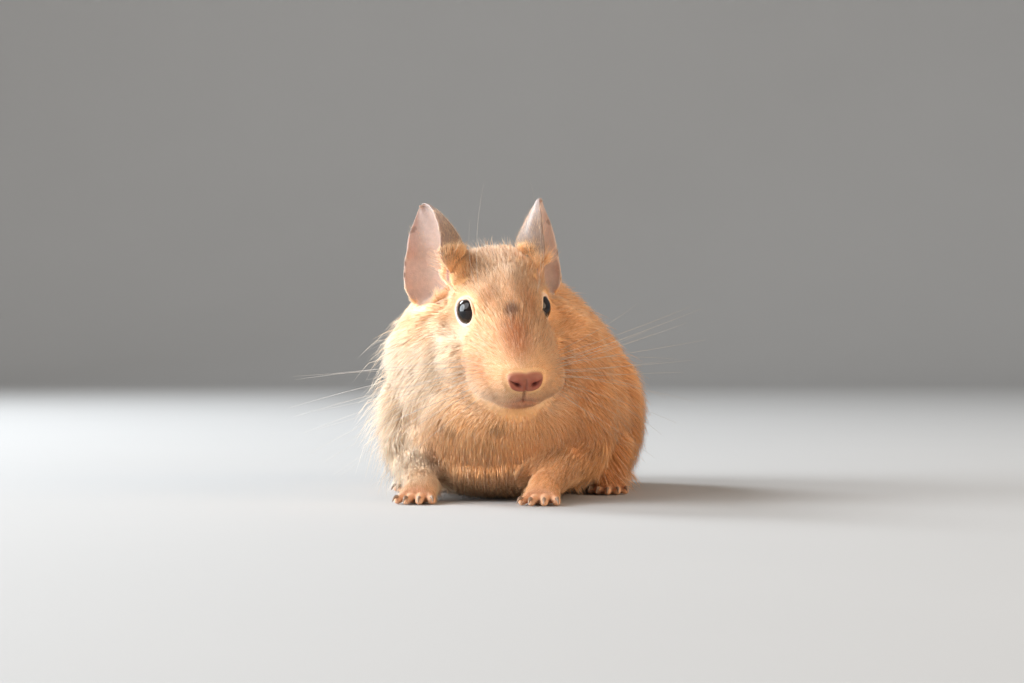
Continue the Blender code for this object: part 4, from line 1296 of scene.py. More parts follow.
@dataclass
class Skin:
    """One closed skin for trunk, head, neck, legs, tail, ears and feet."""

    places: Places
    tail: Tail
    ears: tuple[Ear, Ear]
    feet: tuple
    face: Face
    finish: SkinFinish
    voxel: float = 0.75
    passes: int = 9
    trunk: tuple = (
        (-43, 9, 17, 23, 11, 1.7),
        (-39.5, 16, 17, 31, 5, 1.6),
        (-31, 23, 18, 42, 0.8, 1.5),
        (-17, 28.5, 20, 53, -0.6, 1.45),
        (0, 30.5, 21, 59.5, -0.7, 1.42),
        (16, 31.5, 22, 62, -0.7, 1.42),
        (32, 31.5, 23, 60, -0.6, 1.45),
        (46, 28, 23, 52, 0.5, 1.55),
        (56, 20.5, 22, 41, 5, 1.7),
        (62, 9, 21, 29, 13, 1.8),
    )
    head: tuple = (
        (-23, 12.5, -6, 5.5, -16, 2),
        (-17, 16, -7, 10.4, -20, 2.1),
        (-10, 16.8, -8, 11.6, -21.2, 2),
        (-4, 15.6, -9.5, 11.2, -21, 1.65),
        (1, 14.4, -10, 10, -20.2, 1.5),
        (6, 13.4, -10, 8.2, -19.4, 1.55),
        (11, 12.2, -9.5, 6, -18.4, 1.7),
        (15.5, 11, -9, 3.6, -17.6, 1.85),
        (19.3, 9.7, -8.5, 1.4, -16.6, 2),
        (22.3, 8.2, -8, -1.1, -15.2, 2.1),
        (24.6, 5.9, -7.2, -3.2, -12.2, 2),
        (25.5, 3, -6.7, -4.8, -9.2, 2),
    )
    masses: tuple = (
        ((22, -20, 21), (9, 13, 17)),
        ((23, 21, 19.5), (9.6, 21.5, 18.5)),
        ((24.4, 1, 12), (7.5, 9, 10.5)),
    )
    forearm: tuple = (7, 3.9)
    cheek: tuple = ((10, -1, -12), (8.4, 12.5, 8.6))
    whisker_pad: tuple = ((6.3, 15.6, -9.6), (5.8, 7.8, 5.5))
    ear_root: tuple = ((9.6, -14, 5.2), (5.2, 5.8, 5.4))
    tragus: tuple = ((11.4, -10.3, 5.6), (4.7, 4.5, 4.9))
    chin: tuple = ((0, 17, -14), (5.4, 5.2, 4))
    necks: tuple = (
        ((-5.5, -20, 35.5), (26.8, 20, 22.5)),
        ((8.5, -21, 31.5), (17, 17, 20)),
        ((-3, -33, 20), (20.5, 12.7, 15)),
        ((-16, -25.5, 27), (13, 12, 13)),
    )

    def forms(self) -> list[Object]:
        """The closed forms that the flesh is made of, in the world."""
        trunk, head = self.places.trunk(), self.places.head()
        rings = np.array([oval(row, 2.2) for row in eased(self.trunk, 4)])
        forms = [placed(loft("trunk", rings), trunk)]
        rings = np.array([oval(row, 2.2) for row in eased(self.head, 4)])
        forms.append(placed(loft("head", rings), head))
        for side in (-1, 1):
            for (x, y, z), semi in self.masses:
                forms.append(placed(ellipsoid("mass", (side * x, y, z), semi), trunk))
            share = np.arange(-1, 5)[:, None] / 4
            elbow, wrist = self.places.forearm(side)
            radii = self.forearm[0] + (self.forearm[1] - self.forearm[0]) * np.maximum(share[:, 0], 0)
            forms.append(placed(tube("forearm", elbow + (wrist - elbow) * share, radii, 16), trunk))
            for (x, y, z), semi in (self.cheek, self.whisker_pad, self.ear_root):
                forms.append(placed(ellipsoid("swell", (side * x, y, z), semi), head))
        for ear in self.ears:
            (x, y, z), semi = self.tragus
            forms.append(placed(ellipsoid("tragus", (ear.side.value * x, y, z), semi), ear.setting()))
        forms += [ellipsoid("neck", centre, semi) for centre, semi in self.necks]
        forms.append(placed(ellipsoid("chin", *self.chin), head))
        return forms

    def flesh(self) -> Object:
        """The forms run together, with fewer faces on the trunk than on the face."""
        body = merged(joined("degu_skin", self.forms()), self.voxel, self.passes)
        head = self.places.in_head(points_of(body.data))
        keep = ramp(-14, 2, head[:, 1]) * ramp(-26, -20, head[:, 2])
        group = body.vertex_groups.new(name="thin_out")
        for step in range(11):
            chosen = np.nonzero(np.round(keep * 10).astype(int) == step)[0]
            group.add(chosen.tolist(), 1.0 - step / 10, "REPLACE")
        fewer = body.modifiers.new("Fewer", "DECIMATE")
        fewer.ratio = 0.5
        fewer.vertex_group = group.name
        fewer.use_collapse_triangulate = True
        settle(body)
        body.vertex_groups.clear()
        return body

    def refine(self, body: Object, chosen: Callable[[Array], Array]) -> None:
        """Halves the edges of the faces whose middles are chosen."""
        with editing(body.data) as bm:
            middles = np.array([face.calc_center_median() for face in bm.faces])
            mask = chosen(self.places.in_head(middles))
            edges = {edge for face, pick in zip(bm.faces, mask) if pick for edge in face.edges}
            bmesh.ops.subdivide_edges(bm, edges=list(edges), cuts=1, use_grid_fill=True)
            bmesh.ops.triangulate(bm, faces=bm.faces)

    def _near_features(self, reach: float) -> Callable[[Array], Array]:
        """A test for points near the eyes, the nose and the mouth."""

        def chosen(head: Array) -> Array:
            """Whether each point lies within reach of a feature."""
            mask = (head[:, 1] > 23.0 - reach) & (head[:, 2] > -16) & (head[:, 2] < -1)
            for socket in self.face.sockets:
                mask |= np.linalg.norm(head - socket.cornea(), axis=1) < reach
            return mask

        return chosen

    def build(self, depth: Callable[[Array], Array]) -> Object:
        """Makes the whole skin.

        Args:
            depth: Tells how deep under the outline of the coat the skin lies.

        Returns:
            The skin, in millimetres, without its finish.
        """
        body = self.flesh()
        for reach in (8.5, 5.8):
            self.refine(body, self._near_features(reach))
        points = points_of(body.data)
        points -= normals_of(body.data) * depth(points)[:, None]
        for ear in self.ears:
            points = ear.cleared(points)
        set_points(body.data, self.face.sculpt(points))
        on_floor(body)
        body = united(body, merged(self.tail.form(), 0.5, 2))
        for ear in self.ears:
            body = united(body, ear.filling())
            body = united(body, ear.shell())
        for foot in self.feet:
            body = united(body, foot.form())
        return self.closed(body)

    @staticmethod
    def closed(body: Object) -> Object:
        """Keeps the largest closed surface, in triangles."""
        with editing(body.data) as bm:
            bmesh.ops.remove_doubles(bm, verts=bm.verts, dist=0.0005)
            bmesh.ops.triangulate(bm, faces=bm.faces)
            unseen, groups = set(bm.verts), []
            while unseen:
                stack, group = [unseen.pop()], []
                while stack:
                    vert = stack.pop()
                    group.append(vert)
                    others = {edge.other_vert(vert) for edge in vert.link_edges} & unseen
                    unseen -= others
                    stack += others
                groups.append(group)
            groups.sort(key=len)
            loose = [vert for group in groups[:-1] for vert in group]
            bmesh.ops.delete(bm, geom=loose, context="VERTS")
        return body

    def dress(self, body: Object, markings: Markings) -> None:
        """Gives the skin its colours and finish."""
        mesh = body.data
        colours, bare = markings.bare_colours(points_of(mesh))
        store(mesh, "marking", colours)
        store(mesh, "bare", bare)
        mesh.materials.clear()
        mesh.materials.append(self.finish.material())
        mesh.shade_smooth()


@dataclass
class Roots:
    """Where hairs stand: places, normals, and what each hair is like."""

    places: Array
    normals: Array
    headings: Array
    lengths: Array
    widths: Array
    lifts: Array

    def picked(self, mask: Array) -> "Roots":
        """The roots that the mask names."""
        return Roots(*(getattr(self, name)[mask] for name in self.__dataclass_fields__))


@dataclass
class Unwrap:
    """A flat layout of the skin's own shape, on which each hair finds its patch."""

    skin: Object
    faces: int = 9000
    tree: BVHTree = field(init=False)
    corners: Array = field(init=False)
    flats: Array = field(init=False)

    def __post_init__(self) -> None:
        """Lays a simpler copy of the skin flat."""
        copy = linked("skin_layout", self.skin.data.copy())
        fewer = copy.modifiers.new("Fewer", "DECIMATE")
        fewer.ratio = self.faces / max(len(copy.data.polygons), 1)
        fewer.use_collapse_triangulate = True
        settle(copy)
        bpy.context.view_layer.objects.active = copy
        copy.select_set(True)
        bpy.ops.object.mode_set(mode="EDIT")
        bpy.ops.mesh.select_all(action="SELECT")
        bpy.ops.uv.smart_project(angle_limit=math.radians(66), island_margin=0.004)
        bpy.ops.object.mode_set(mode="OBJECT")
        mesh = copy.data
        mesh.calc_loop_triangles()
        verts, loops = (read(mesh.loop_triangles, label, 3, int) for label in ("vertices", "loops"))
        self.corners = points_of(mesh)[verts]
        self.flats = read(mesh.uv_layers.active.data, "uv", 2, float)[loops]
        self.tree = BVHTree.FromPolygons(points_of(mesh).tolist(), verts.tolist())
        bpy.data.objects.remove(copy, do_unlink=True)

    def flat_places(self, places: Array) -> Array:
        """Where points of the skin lie on the layout."""
        hits, faces = np.empty_like(places), np.empty(len(places), int)
        for i, place in enumerate(places.tolist()):
            hit, _, face, _ = self.tree.find_nearest(place)
            hits[i], faces[i] = hit, face
        a, b, c = (self.corners[faces, k] for k in range(3))
        edge, other, away = b - a, c - a, hits - a
        ee, eo, oo = (edge * edge).sum(1), (edge * other).sum(1), (other * other).sum(1)
        ae, ao = (away * edge).sum(1), (away * other).sum(1)
        whole = np.maximum(ee * oo - eo * eo, 1e-12)
        u, v = (oo * ae - eo * ao) / whole, (ee * ao - eo * ae) / whole
        flat = self.flats[faces]
        return flat[:, 0] + u[:, None] * (flat[:, 1] - flat[:, 0]) + v[:, None] * (flat[:, 2] - flat[:, 0])


@dataclass
class Pelt:
    """How the coat lies: its length, depth, lift and direction all over the animal."""

    places: Places
    face: Face
    ears: tuple[Ear, Ear]
    tail: Tail
    nose_tip: tuple = (0, 25, -7)
    reach: tuple = (0, 3.5, 8, 15, 24, 34, 46, 62)
    hair: tuple = (0.7, 1.2, 2, 3, 3.9, 5.3, 7.2, 8.3)
    depth_share: float = 0.27

    def _eye_distance(self, head: Array) -> Array:
        """Distance from the nearer eye's opening."""
        away = []
        for socket in self.face.sockets:
            beyond, height, _ = socket.measure(head)
            other_side = head[:, 0] * socket.side.value < 0
            away.append(np.abs(beyond) + 40.0 * other_side + np.maximum(-height, 0))
        return np.minimum(*away)

    def length(self, world: Array) -> Array:
        """Length of the hair that grows at each point."""
        head, trunk = self.places.in_head(world), self.places.in_trunk(world)
        from_nose = np.linalg.norm(head - self.nose_tip, axis=1)
        length = np.interp(from_nose, self.reach, self.hair)
        crown = ramp(3, 8, head[:, 2]) * ramp(-24, -16, head[:, 1])
        length = length * (1 - 0.5 * crown * ramp(14, 9, np.abs(head[:, 0])))
        length = length * (0.3 + 0.7 * ramp(0.3, 7, self._eye_distance(head)))
        for side in (-1, 1):
            away, share = near_line(trunk, *self.places.forearm(side))
            arm = ramp(9.5, 6.5, away) * ramp(0.1, 0.8, share)
            length = length * (1 - arm) + (5.4 - 3.0 * share) * arm
        feet = Markings.on_feet(trunk)
        length = length * (1 - feet) + 1.15 * feet
        for ear in self.ears:
            length = np.minimum(length, 0.7 + 0.6 * ear.room(world))
            length = np.maximum(length, 3.4 * ear.tuft(world))
        on_tail = ramp(58, 66, trunk[:, 1]) * (trunk[:, 2] < 20)
        return length * (1 - on_tail) + 3.2 * on_tail

    def depth(self, world: Array) -> Array:
        """How far the skin lies under the outline of the coat."""
        head, trunk = self.places.in_head(world), self.places.in_trunk(world)
        depth = self.depth_share * self.length(world)
        depth = depth * ramp(0.4, 4, self._eye_distance(head)) * (1 - self.face.nose_pad(head))
        depth = depth * ramp(-46, -38, trunk[:, 1] + 60.0 * (trunk[:, 2] > 9))
        return np.clip(depth, 0.05, 2.4)

    def heading(self, world: Array) -> Array:
        """The way the coat lies at each point, before it is laid along the skin."""
        head, trunk = self.places.in_head(world), self.places.in_trunk(world)
        from_nose = unit(head - np.array((0, 27, -4)))
        from_nose[:, 2] -= 0.45 * ramp(2, -12, head[:, 2])
        face = self.places.from_head(unit(from_nose))
        away = np.linalg.norm(head - self.nose_tip, axis=1)
        droop = ramp(12, 26, away) * ramp(7, 15, np.abs(head[:, 0]))
        face[:, 2] -= 0.75 * droop * ramp(8, -2, head[:, 2])
        side = trunk[:, 0] / 30.0
        down = 0.30 + 0.75 * np.abs(side) ** 1.5
        outer = ramp(-16, -26, trunk[:, 0])
        back = np.stack([0.12 * side, 1.0 - 0.55 * outer, -down], axis=1)
        front = np.stack([0.35 * side, np.full(len(world), 0.2), -np.ones(len(world))], axis=1)
        chest = ramp(-24, -38, trunk[:, 1])[:, None]
        body = unit(back) * (1 - chest) + unit(front) * chest
        body[:, 2] *= ramp(-2, 9, trunk[:, 2])
        for sign in (-1, 1):
            elbow, wrist = self.places.forearm(sign)
            away, _ = near_line(trunk, elbow, wrist)
            arm = ramp(10, 6.5, away)[:, None]
            run = unit(wrist - elbow) + (0, 0, -0.35)
            body = body * (1 - arm) + run * arm
        feet = Markings.on_feet(trunk)[:, None]
        body = body * (1 - feet) + np.array((0, -1, -0.2)) * feet
        body = self.places.from_trunk(body)
        share = ramp(-26, -15, head[:, 1]) * ramp(-26, -19, head[:, 2])
        share = share * ramp(24, 34, world[:, 2] + 12.0 * ramp(8, 20, head[:, 1]))
        found = face * share[:, None] + body * (1 - share[:, None])
        on_tail = (ramp(56, 66, trunk[:, 1]) * (trunk[:, 2] < 22))[:, None]
        return unit(found * (1 - on_tail) + self._tail_way(world) * on_tail)

    def _tail_way(self, world: Array) -> Array:
        """The way the tail runs where it is nearest to each point."""
        found = np.zeros_like(world)
        near = self.places.in_trunk(world)[:, 1] > 50
        _, line, way = self.tail.samples()
        if near.any():
            away = np.linalg.norm(world[near][:, None] - line[None], axis=2)
            found[near] = way[away.argmin(axis=1)]
        return found

    def lift(self, world: Array) -> Array:
        """How steeply the hair leaves the skin, in radians."""
        head, trunk = self.places.in_head(world), self.places.in_trunk(world)
        from_nose = np.linalg.norm(head - self.nose_tip, axis=1)
        lift = np.interp(from_nose, (0, 8, 20, 34, 50, 70), (11, 13, 14, 17, 19, 18))
        crown = ramp(4, 8, head[:, 2]) * ramp(-26, -20, head[:, 1])
        crown = crown * ramp(-2, -9, head[:, 1])
        lift = lift + 7 * crown * ramp(13, 9, np.abs(head[:, 0]))
        outer = ramp(-18, -27, trunk[:, 0]) * (trunk[:, 2] < 46)
        pads = hump(np.linalg.norm((np.abs(head) - (10.5, 15, 8.5)) / (1, 1.5, 1), axis=1), 4)
        lift = lift + 9 * outer + 12 * pads
        feet = Markings.on_feet(trunk)
        return np.radians(lift * (1 - feet) + 9.0 * feet)


@dataclass
class Coat:
    """The hair of the animal, in pieces that run from the muzzle to the rump."""

    pelt: Pelt
    markings: Markings
    finish: HairFinish
    hairs: int = 240000
    seed: int = 4
    straight_below: float = 2.7
    straight_share: float = 0.42
    piece_names: tuple = tuple("muzzle face cheeks crown neck shoulders flanks haunches rump".split())

    def width(self, length: Array) -> Array:
        """Width of a hair of each length."""
        return np.clip(0.05 + 0.015 * length, 0.055, 0.17)

    def density(self, world: Array, normals: Array) -> Array:
        """How many hairs stand on a square millimetre, as a share."""
        head, trunk = self.pelt.places.in_head(world), self.pelt.places.in_trunk(world)
        length = self.pelt.length(world)
        density = 1.0 / (length * self.width(length))
        far = np.linalg.norm(head - self.pelt.nose_tip, axis=1)
        density = density * (0.8 + 0.6 * ramp(75, 35, far))
        for socket in self.pelt.face.sockets:
            beyond, height, _ = socket.measure(head)
            near = (head[:, 0] * socket.side.value > 0) & (height > -1)
            density = density * (1 - near * ramp(1.6, 0.9, beyond))
        density = density * (1 - ramp(0.5, 0.85, self.pelt.face.nose_pad(head)))
        lip = hump(head[:, 2] - self.pelt.face.lip_line(head), 0.6) * (head[:, 1] > 18)
        density = density * (1 - 0.7 * lip * ramp(5, 3.5, np.abs(head[:, 0])))
        for ear in self.pelt.ears:
            up = ear.local(world)[0]
            outer = ear.on_wall(world, False) * ramp(1, 4, up) * (1 - ear.tuft(world)) ** 2
            density = density * (1 - 0.985 * ear.on_wall(world, True)) * (1 - 0.96 * outer)
        feet = Markings.on_feet(trunk)
        density = density * (1 - feet * (0.55 + 0.4 * ramp(2.6, 1.2, world[:, 2])))
        under = ramp(-0.3, -0.8, normals[:, 2]) * ramp(3, 1.2, world[:, 2])
        return density * (1 - under)

    def spread(self, skin: Object, rng: np.random.Generator) -> tuple[Array, Array]:
        """Places and normals of roots spread over the skin by its density."""
        points, normals = points_of(skin.data), normals_of(skin.data)
        skin.data.calc_loop_triangles()
        triangles = read(skin.data.loop_triangles, "vertices", 3, int)
        density = self.density(points, normals)[triangles].mean(axis=1)
        a, b, c = (points[triangles[:, k]] for k in range(3))
        area = np.linalg.norm(np.cross(b - a, c - a), axis=1) / 2
        total = np.cumsum(area * density)
        LOG.info("coat covers %.0f mm2, %.1f hairs deep", area.sum(), self.hairs / total[-1])
        at = (np.arange(self.hairs) + rng.random(self.hairs)) / self.hairs * total[-1]
        chosen = np.searchsorted(total, at).clip(0, len(triangles) - 1)
        u, v = rng.random(self.hairs), rng.random(self.hairs)
        flip = u + v > 1
        u[flip], v[flip] = 1 - u[flip], 1 - v[flip]
        weights = np.stack([1 - u - v, u, v], axis=1)[:, :, None]
        places = (points[triangles[chosen]] * weights).sum(axis=1)
        return places, unit((normals[triangles[chosen]] * weights).sum(axis=1))

    def roots(self, skin: Object) -> Roots:
        """Decides where each hair stands and what it is like."""
        rng = np.random.default_rng(self.seed)
        places, upright = self.spread(skin, rng)
        length = self.pelt.length(places)
        jitter = rng.normal(0, 1, (self.hairs, 5))
        heading = unit(self.pelt.heading(places) + 0.11 * rng.normal(0, 1, (self.hairs, 3)))
        for ear in self.pelt.ears:
            wall = ear.on_wall(places, True) + ear.on_wall(places, False) > 0
            rise = unit(ear.to_world(np.ones(1), np.zeros(1), np.zeros(1)) - ear.to_world(*np.zeros((3, 1))))
            heading = np.where(wall[:, None], rise + 0.2 * jitter[:, :3], heading)
            length = np.where(wall & (ear.local(places)[0] > 7.5), 1.3, length)
        trunk = self.pelt.places.in_trunk(places)
        fringe = ramp(-17, -26, trunk[:, 0]) * (trunk[:, 2] < 48) * (1 - Markings.on_feet(trunk))
        head = self.pelt.places.in_head(places)
        crown = ramp(4, 8, head[:, 2]) * ramp(-24, -18, head[:, 1])
        crown = crown * ramp(-3, -9, head[:, 1])
        guard = rng.random(self.hairs) < 0.035 + 0.035 * fringe - 0.01 * crown
        length = length * (1 + 0.15 * jitter[:, 3]).clip(0.6, 1.5)
        length = length * np.where(guard, 1.2 + 0.6 * fringe + 0.6 * crown, 1)
        lift = self.pelt.lift(places) + np.radians(5) * jitter[:, 4]
        lift = lift + np.radians(6 + 15 * fringe + 26 * crown) * guard
        widths = self.width(length) * np.where(guard, 0.75, 1)
        return Roots(places, upright, unit(heading), length, widths, lift.clip(0.06, 1.2))

    def ear_tufts(self, ear: Ear, count: int, rng: np.random.Generator) -> Roots:
        """Long fine hairs that cross the cup of an ear from its front wall and floor."""
        near_side = ear.side == Side.RIGHT
        up = rng.uniform(-5.5 if near_side else -5, 4.5 if near_side else 8, count)
        outward_by, forward, radius, fore = ear.at(up, 1, 2, 3, 5)
        angle = np.radians(fore - rng.uniform(2, 75.0 if near_side else 50, count))
        places = ear.around(up, angle, radius - 0.35)
        inner = ear.around(up, angle, radius - 1.35)
        aside = 0.9 if near_side else -0.2
        aim = ear.to_world(up + 6, forward - 5.5 + 5 * near_side, outward_by + radius * aside)
        heading = unit(aim - places) + 0.14 * rng.normal(0, 1, (count, 3))
        length = rng.uniform(3, 7.5, count) * (1 - 0.04 * up)
        lifts = rng.uniform(0.25, 0.6, count) + 0.4 * near_side
        return Roots(places, unit(inner - places), unit(heading), length, np.full(count, 0.08), lifts)

    def gathered(self, roots: Roots, spacing: int = 14, pull: float = 0.17) -> tuple[Array, Array]:
        """Draws hairs together in tufts.

        Args:
            roots: Where the hairs stand.
            spacing: Hairs in a tuft, on average.
            pull: How far they come together.

        Returns:
            How far each tip leans aside, and the tuft that each hair belongs to.
        """
        rng = np.random.default_rng(self.seed + 1)
        tips = roots.places + self.laid(roots) * roots.lengths[:, None]
        leaders = rng.choice(len(tips), len(tips) // spacing, replace=False)
        tree = KDTree(len(leaders))
        for number, index in enumerate(leaders.tolist()):
            tree.insert(roots.places[index].tolist(), number)
        tree.balance()
        near = np.array([tree.find(place)[1] for place in roots.places.tolist()])
        lean = tips[leaders][near] - tips
        far = np.linalg.norm(lean, axis=1, keepdims=True)
        lean = lean * np.minimum(1, (0.42 * roots.lengths).clip(0, 2.6)[:, None] / np.maximum(far, 1e-6))
        return lean * (pull + 0.12 * rng.normal(0, 1, (len(tips), 1))), near

    @staticmethod
    def laid(roots: Roots) -> Array:
        """The heading of each hair laid along the skin, then lifted off it."""
        flat = roots.headings - roots.normals * (roots.headings * roots.normals).sum(axis=1, keepdims=True)
        cos, sin = np.cos(roots.lifts)[:, None], np.sin(roots.lifts)[:, None]
        return unit(flat) * cos + roots.normals * sin

    def strands(self, roots: Roots, lean: Array) -> Array:
        """Points of every hair.

        Args:
            roots: Where the hairs stand.
            lean: How far each tip is drawn aside.

        Returns:
            Seven points a hair: a ring of three at the root, one of three half way, and the tip.
        """
        up = roots.normals
        first = self.laid(roots)
        flat = unit(first - up * (first * up).sum(axis=1, keepdims=True))
        late = unit(flat + up * np.sin(roots.lifts * 0.45)[:, None])
        length = roots.lengths[:, None]
        base = roots.places - up * 0.2
        middle = roots.places + first * length * 0.45 + lean * 0.3
        tip = roots.places + first * length * 0.45 + late * length * 0.55 + lean
        across = unit(np.cross(up, first))
        thick = np.cross(first, across)
        width = roots.widths[:, None]
        points = []
        for centre, girth in ((base, 0.45), (middle, 0.5)):
            for turn in (90, 210, 330):
                x, y = math.cos(math.radians(turn)), math.sin(math.radians(turn))
                points.append(centre + across * width * girth * x + thick * width * girth * 0.6 * y)
        found = np.stack([*points, tip], axis=1)
        found[:, :, 2] = np.maximum(found[:, :, 2], 0.03)
        return found

    def tinted(self, places: Array, rng: np.random.Generator) -> Array:
        """The marking of each hair, some ticked dark or rusty and some paler than the coat."""
        colours = self.markings.colours(places)
        head = self.pelt.places.in_head(places)
        slope = 0.35 * (20 - head[:, 1]).clip(0, 12) / 4
        brow = ramp(-16, -6, head[:, 1]) * ramp(-4, 2, head[:, 2] - slope)
        roll = rng.random(len(places))
        ticked = (roll < 0.05 + 0.13 * brow)[:, None]
        rusty = ((roll > 0.35) & (roll < 0.47))[:, None]
        pale = (roll > 0.9)[:, None]
        colours = np.where(ticked, colours * (0.62, 0.48, 0.36), colours)
        colours = np.where(rusty, colours * (0.94, 0.80, 0.62), colours)
        return np.where(pale, colours * 0.55 + 0.45 * np.array(Shade.CREAM.value[:3]), colours)

    def piece(
        self, name: str, roots: Roots, lean: Array, flats: Array, colours: Array, tones: Array
    ) -> Object:
        """One mesh of closed three-sided hairs: short ones straight, longer ones bent.

        Args:
            name: The piece's name.
            roots: Where its hairs stand.
            lean: How far each tip is drawn aside.
            flats: Where each root lies on the skin's layout.
            colours: The marking of each hair.
            tones: How light each hair is.

        Returns:
            The piece in metres, dressed.
        """
        straight = self.is_straight(roots)
        order = np.argsort(straight, kind="stable")
        bent = int((~straight).sum())
        points = self.strands(roots, lean)[order] * MM
        offset = np.array(((-0.5, -0.5), (0, -0.5), (0.5, -0.5), (-0.5, 0), (0, 0), (0.5, 0), (0, 0.5)))
        few = [0, 1, 2, 6]
        vertices = np.vstack([points[:bent].reshape(-1, 3), points[bent:, few].reshape(-1, 3)])
        corners = self.corner_numbers(bent, len(order) - bent)
        mesh = bpy.data.meshes.new(name)
        mesh.vertices.add(len(vertices))
        mesh.vertices.foreach_set("co", vertices.astype(np.float32).ravel())
        mesh.loops.add(len(corners))
        mesh.loops.foreach_set("vertex_index", corners.astype(np.int32))
        mesh.polygons.add(len(corners) // 3)
        mesh.polygons.foreach_set("loop_start", np.arange(0, len(corners), 3, dtype=np.int32))
        mesh.update(calc_edges=True)
        repeats = np.where(np.arange(len(order)) < bent, 7, 4)
        around = np.vstack([np.tile(offset, (bent, 1)), np.tile(offset[few], (len(order) - bent, 1))])
        patch = np.repeat(flats[order], repeats, axis=0) + 0.003 * around
        layer = mesh.uv_layers.new(name="OFBake")
        layer.data.foreach_set("uv", patch[corners].astype(np.float32).ravel())
        store(mesh, "marking", np.repeat(colours[order], repeats, axis=0))
        store(mesh, "along", around[:, 1] + 0.5)
        store(mesh, "tone", np.repeat(tones[order], repeats))
        mesh.materials.append(self.finish.material())
        mesh.shade_smooth()
        return linked(name, mesh)

    def is_straight(self, roots: Roots) -> Array:
        """Which hairs are made straight: the short ones and a share of the others."""
        scatter = np.modf(np.abs(roots.places).sum(axis=1) * 997)[0]
        return (roots.lengths < self.straight_below) | (scatter < self.straight_share)

    @staticmethod
    def corner_numbers(bent: int, straight: int) -> Array:
        """Vertex numbers round every face, bent hairs first."""
        sides = ((0, 1, 4), (0, 4, 3), (1, 2, 5), (1, 5, 4), (2, 0, 3), (2, 3, 5))
        long = ((2, 1, 0), *sides, (3, 4, 6), (4, 5, 6), (5, 3, 6))
        short = ((2, 1, 0), (0, 1, 3), (1, 2, 3), (2, 0, 3))
        first = np.array(long)[None] + 7 * np.arange(bent)[:, None, None]
        second = np.array(short)[None] + 4 * np.arange(straight)[:, None, None] + 7 * bent
        return np.concatenate([first.reshape(-1), second.reshape(-1)])

    def tones(self, tufts: Array, rng: np.random.Generator) -> Array:
        """How light each hair is, alone and with its tuft."""
        shared = rng.normal(0, 1, tufts.max() + 1)[tufts]
        return (1.02 + 0.07 * rng.normal(0, 1, len(tufts)) + 0.045 * shared).clip(0.7, 1.3)

    def build(self, skin: Object, unwrap: Unwrap) -> list[Object]:
        """Grows the whole coat and cuts it into pieces by distance from the nose."""
        rng = np.random.default_rng(self.seed + 9)
        parts = [self.roots(skin), *(self.ear_tufts(ear, 380, rng) for ear in self.pelt.ears)]
        roots = Roots(*(np.concatenate([getattr(p, n) for p in parts]) for n in Roots.__dataclass_fields__))
        lean, tufts = self.gathered(roots)
        flats = unwrap.flat_places(roots.places)
        colours, tones = self.tinted(roots.places, rng), self.tones(tufts, rng)
        own = len(parts[0].places)
        colours[own:] *= np.where(rng.random((len(colours) - own, 1)) < 0.4, 1.3, (0.6, 0.42, 0.3))
        away = np.linalg.norm(self.pelt.places.in_head(roots.places) - self.pelt.nose_tip, axis=1)
        order = np.argsort(away)
        cost = np.cumsum(np.where(self.is_straight(roots), 4, 10)[order])
        number = np.empty(len(order), int)
        number[order] = (cost - 1) * len(self.piece_names) // cost[-1]
        pieces = []
        for i, name in enumerate(self.piece_names):
            mask = number == i
            each = (array[mask] for array in (lean, flats, colours, tones))
            pieces.append(self.piece("coat_" + name, roots.picked(mask), *each))
        LOG.info("coat has %d triangles", cost[-1])
        return pieces


@dataclass
class TailBrush(Coat):
    """The stiff bristles on the last third of the tail."""

    hairs: int = 6500
    seed: int = 31
    straight_below: float = 0.0
    straight_share: float = 0.0

    def build(self, skin: Object, unwrap: Unwrap) -> list[Object]:
        """Grows the brush as one piece."""
        rng = np.random.default_rng(self.seed)
        tail = self.pelt.tail
        distance = tail.brush_start + (tail.length - tail.brush_start) * rng.random(self.hairs) ** 0.75
        known, line, way = tail.samples(200)
        centre = np.stack([np.interp(distance, known, line[:, k]) for k in range(3)], axis=1)
        along = unit(np.stack([np.interp(distance, known, way[:, k]) for k in range(3)], axis=1))
        across = unit(np.cross(along, (0, 0, 1)))
        lift = np.cross(across, along)
        angle = rng.uniform(0, math.tau, self.hairs)
        normal = across * np.cos(angle)[:, None] + lift * np.sin(angle)[:, None]
        core = np.array([max(tail.radius(d) - tail.coat_depth, 0.75) for d in distance])
        share = (distance - tail.brush_start) / (tail.length - tail.brush_start)
        closing = ramp(0.7, 1, share)
        length = (4.5 + 8.5 * share**0.6) * (1 - 0.2 * closing) * rng.uniform(0.7, 1.15, self.hairs)
        places = centre + normal * (core * 0.9)[:, None]
        heading = unit(along + 0.1 * rng.normal(0, 1, (self.hairs, 3)))
        lifts = np.radians(rng.uniform(8, 22, self.hairs) * (1 + 0.25 * share) * (1 - 1.25 * closing))
        roots = Roots(places, normal, heading, length, np.full(self.hairs, 0.19), lifts)
        lean, tufts = self.gathered(roots, 16, 0.3)
        flats = unwrap.flat_places(places)
        colours = self.markings.colours(places)
        return [self.piece("tail_brush", roots, lean, flats, colours, self.tones(tufts, rng))]


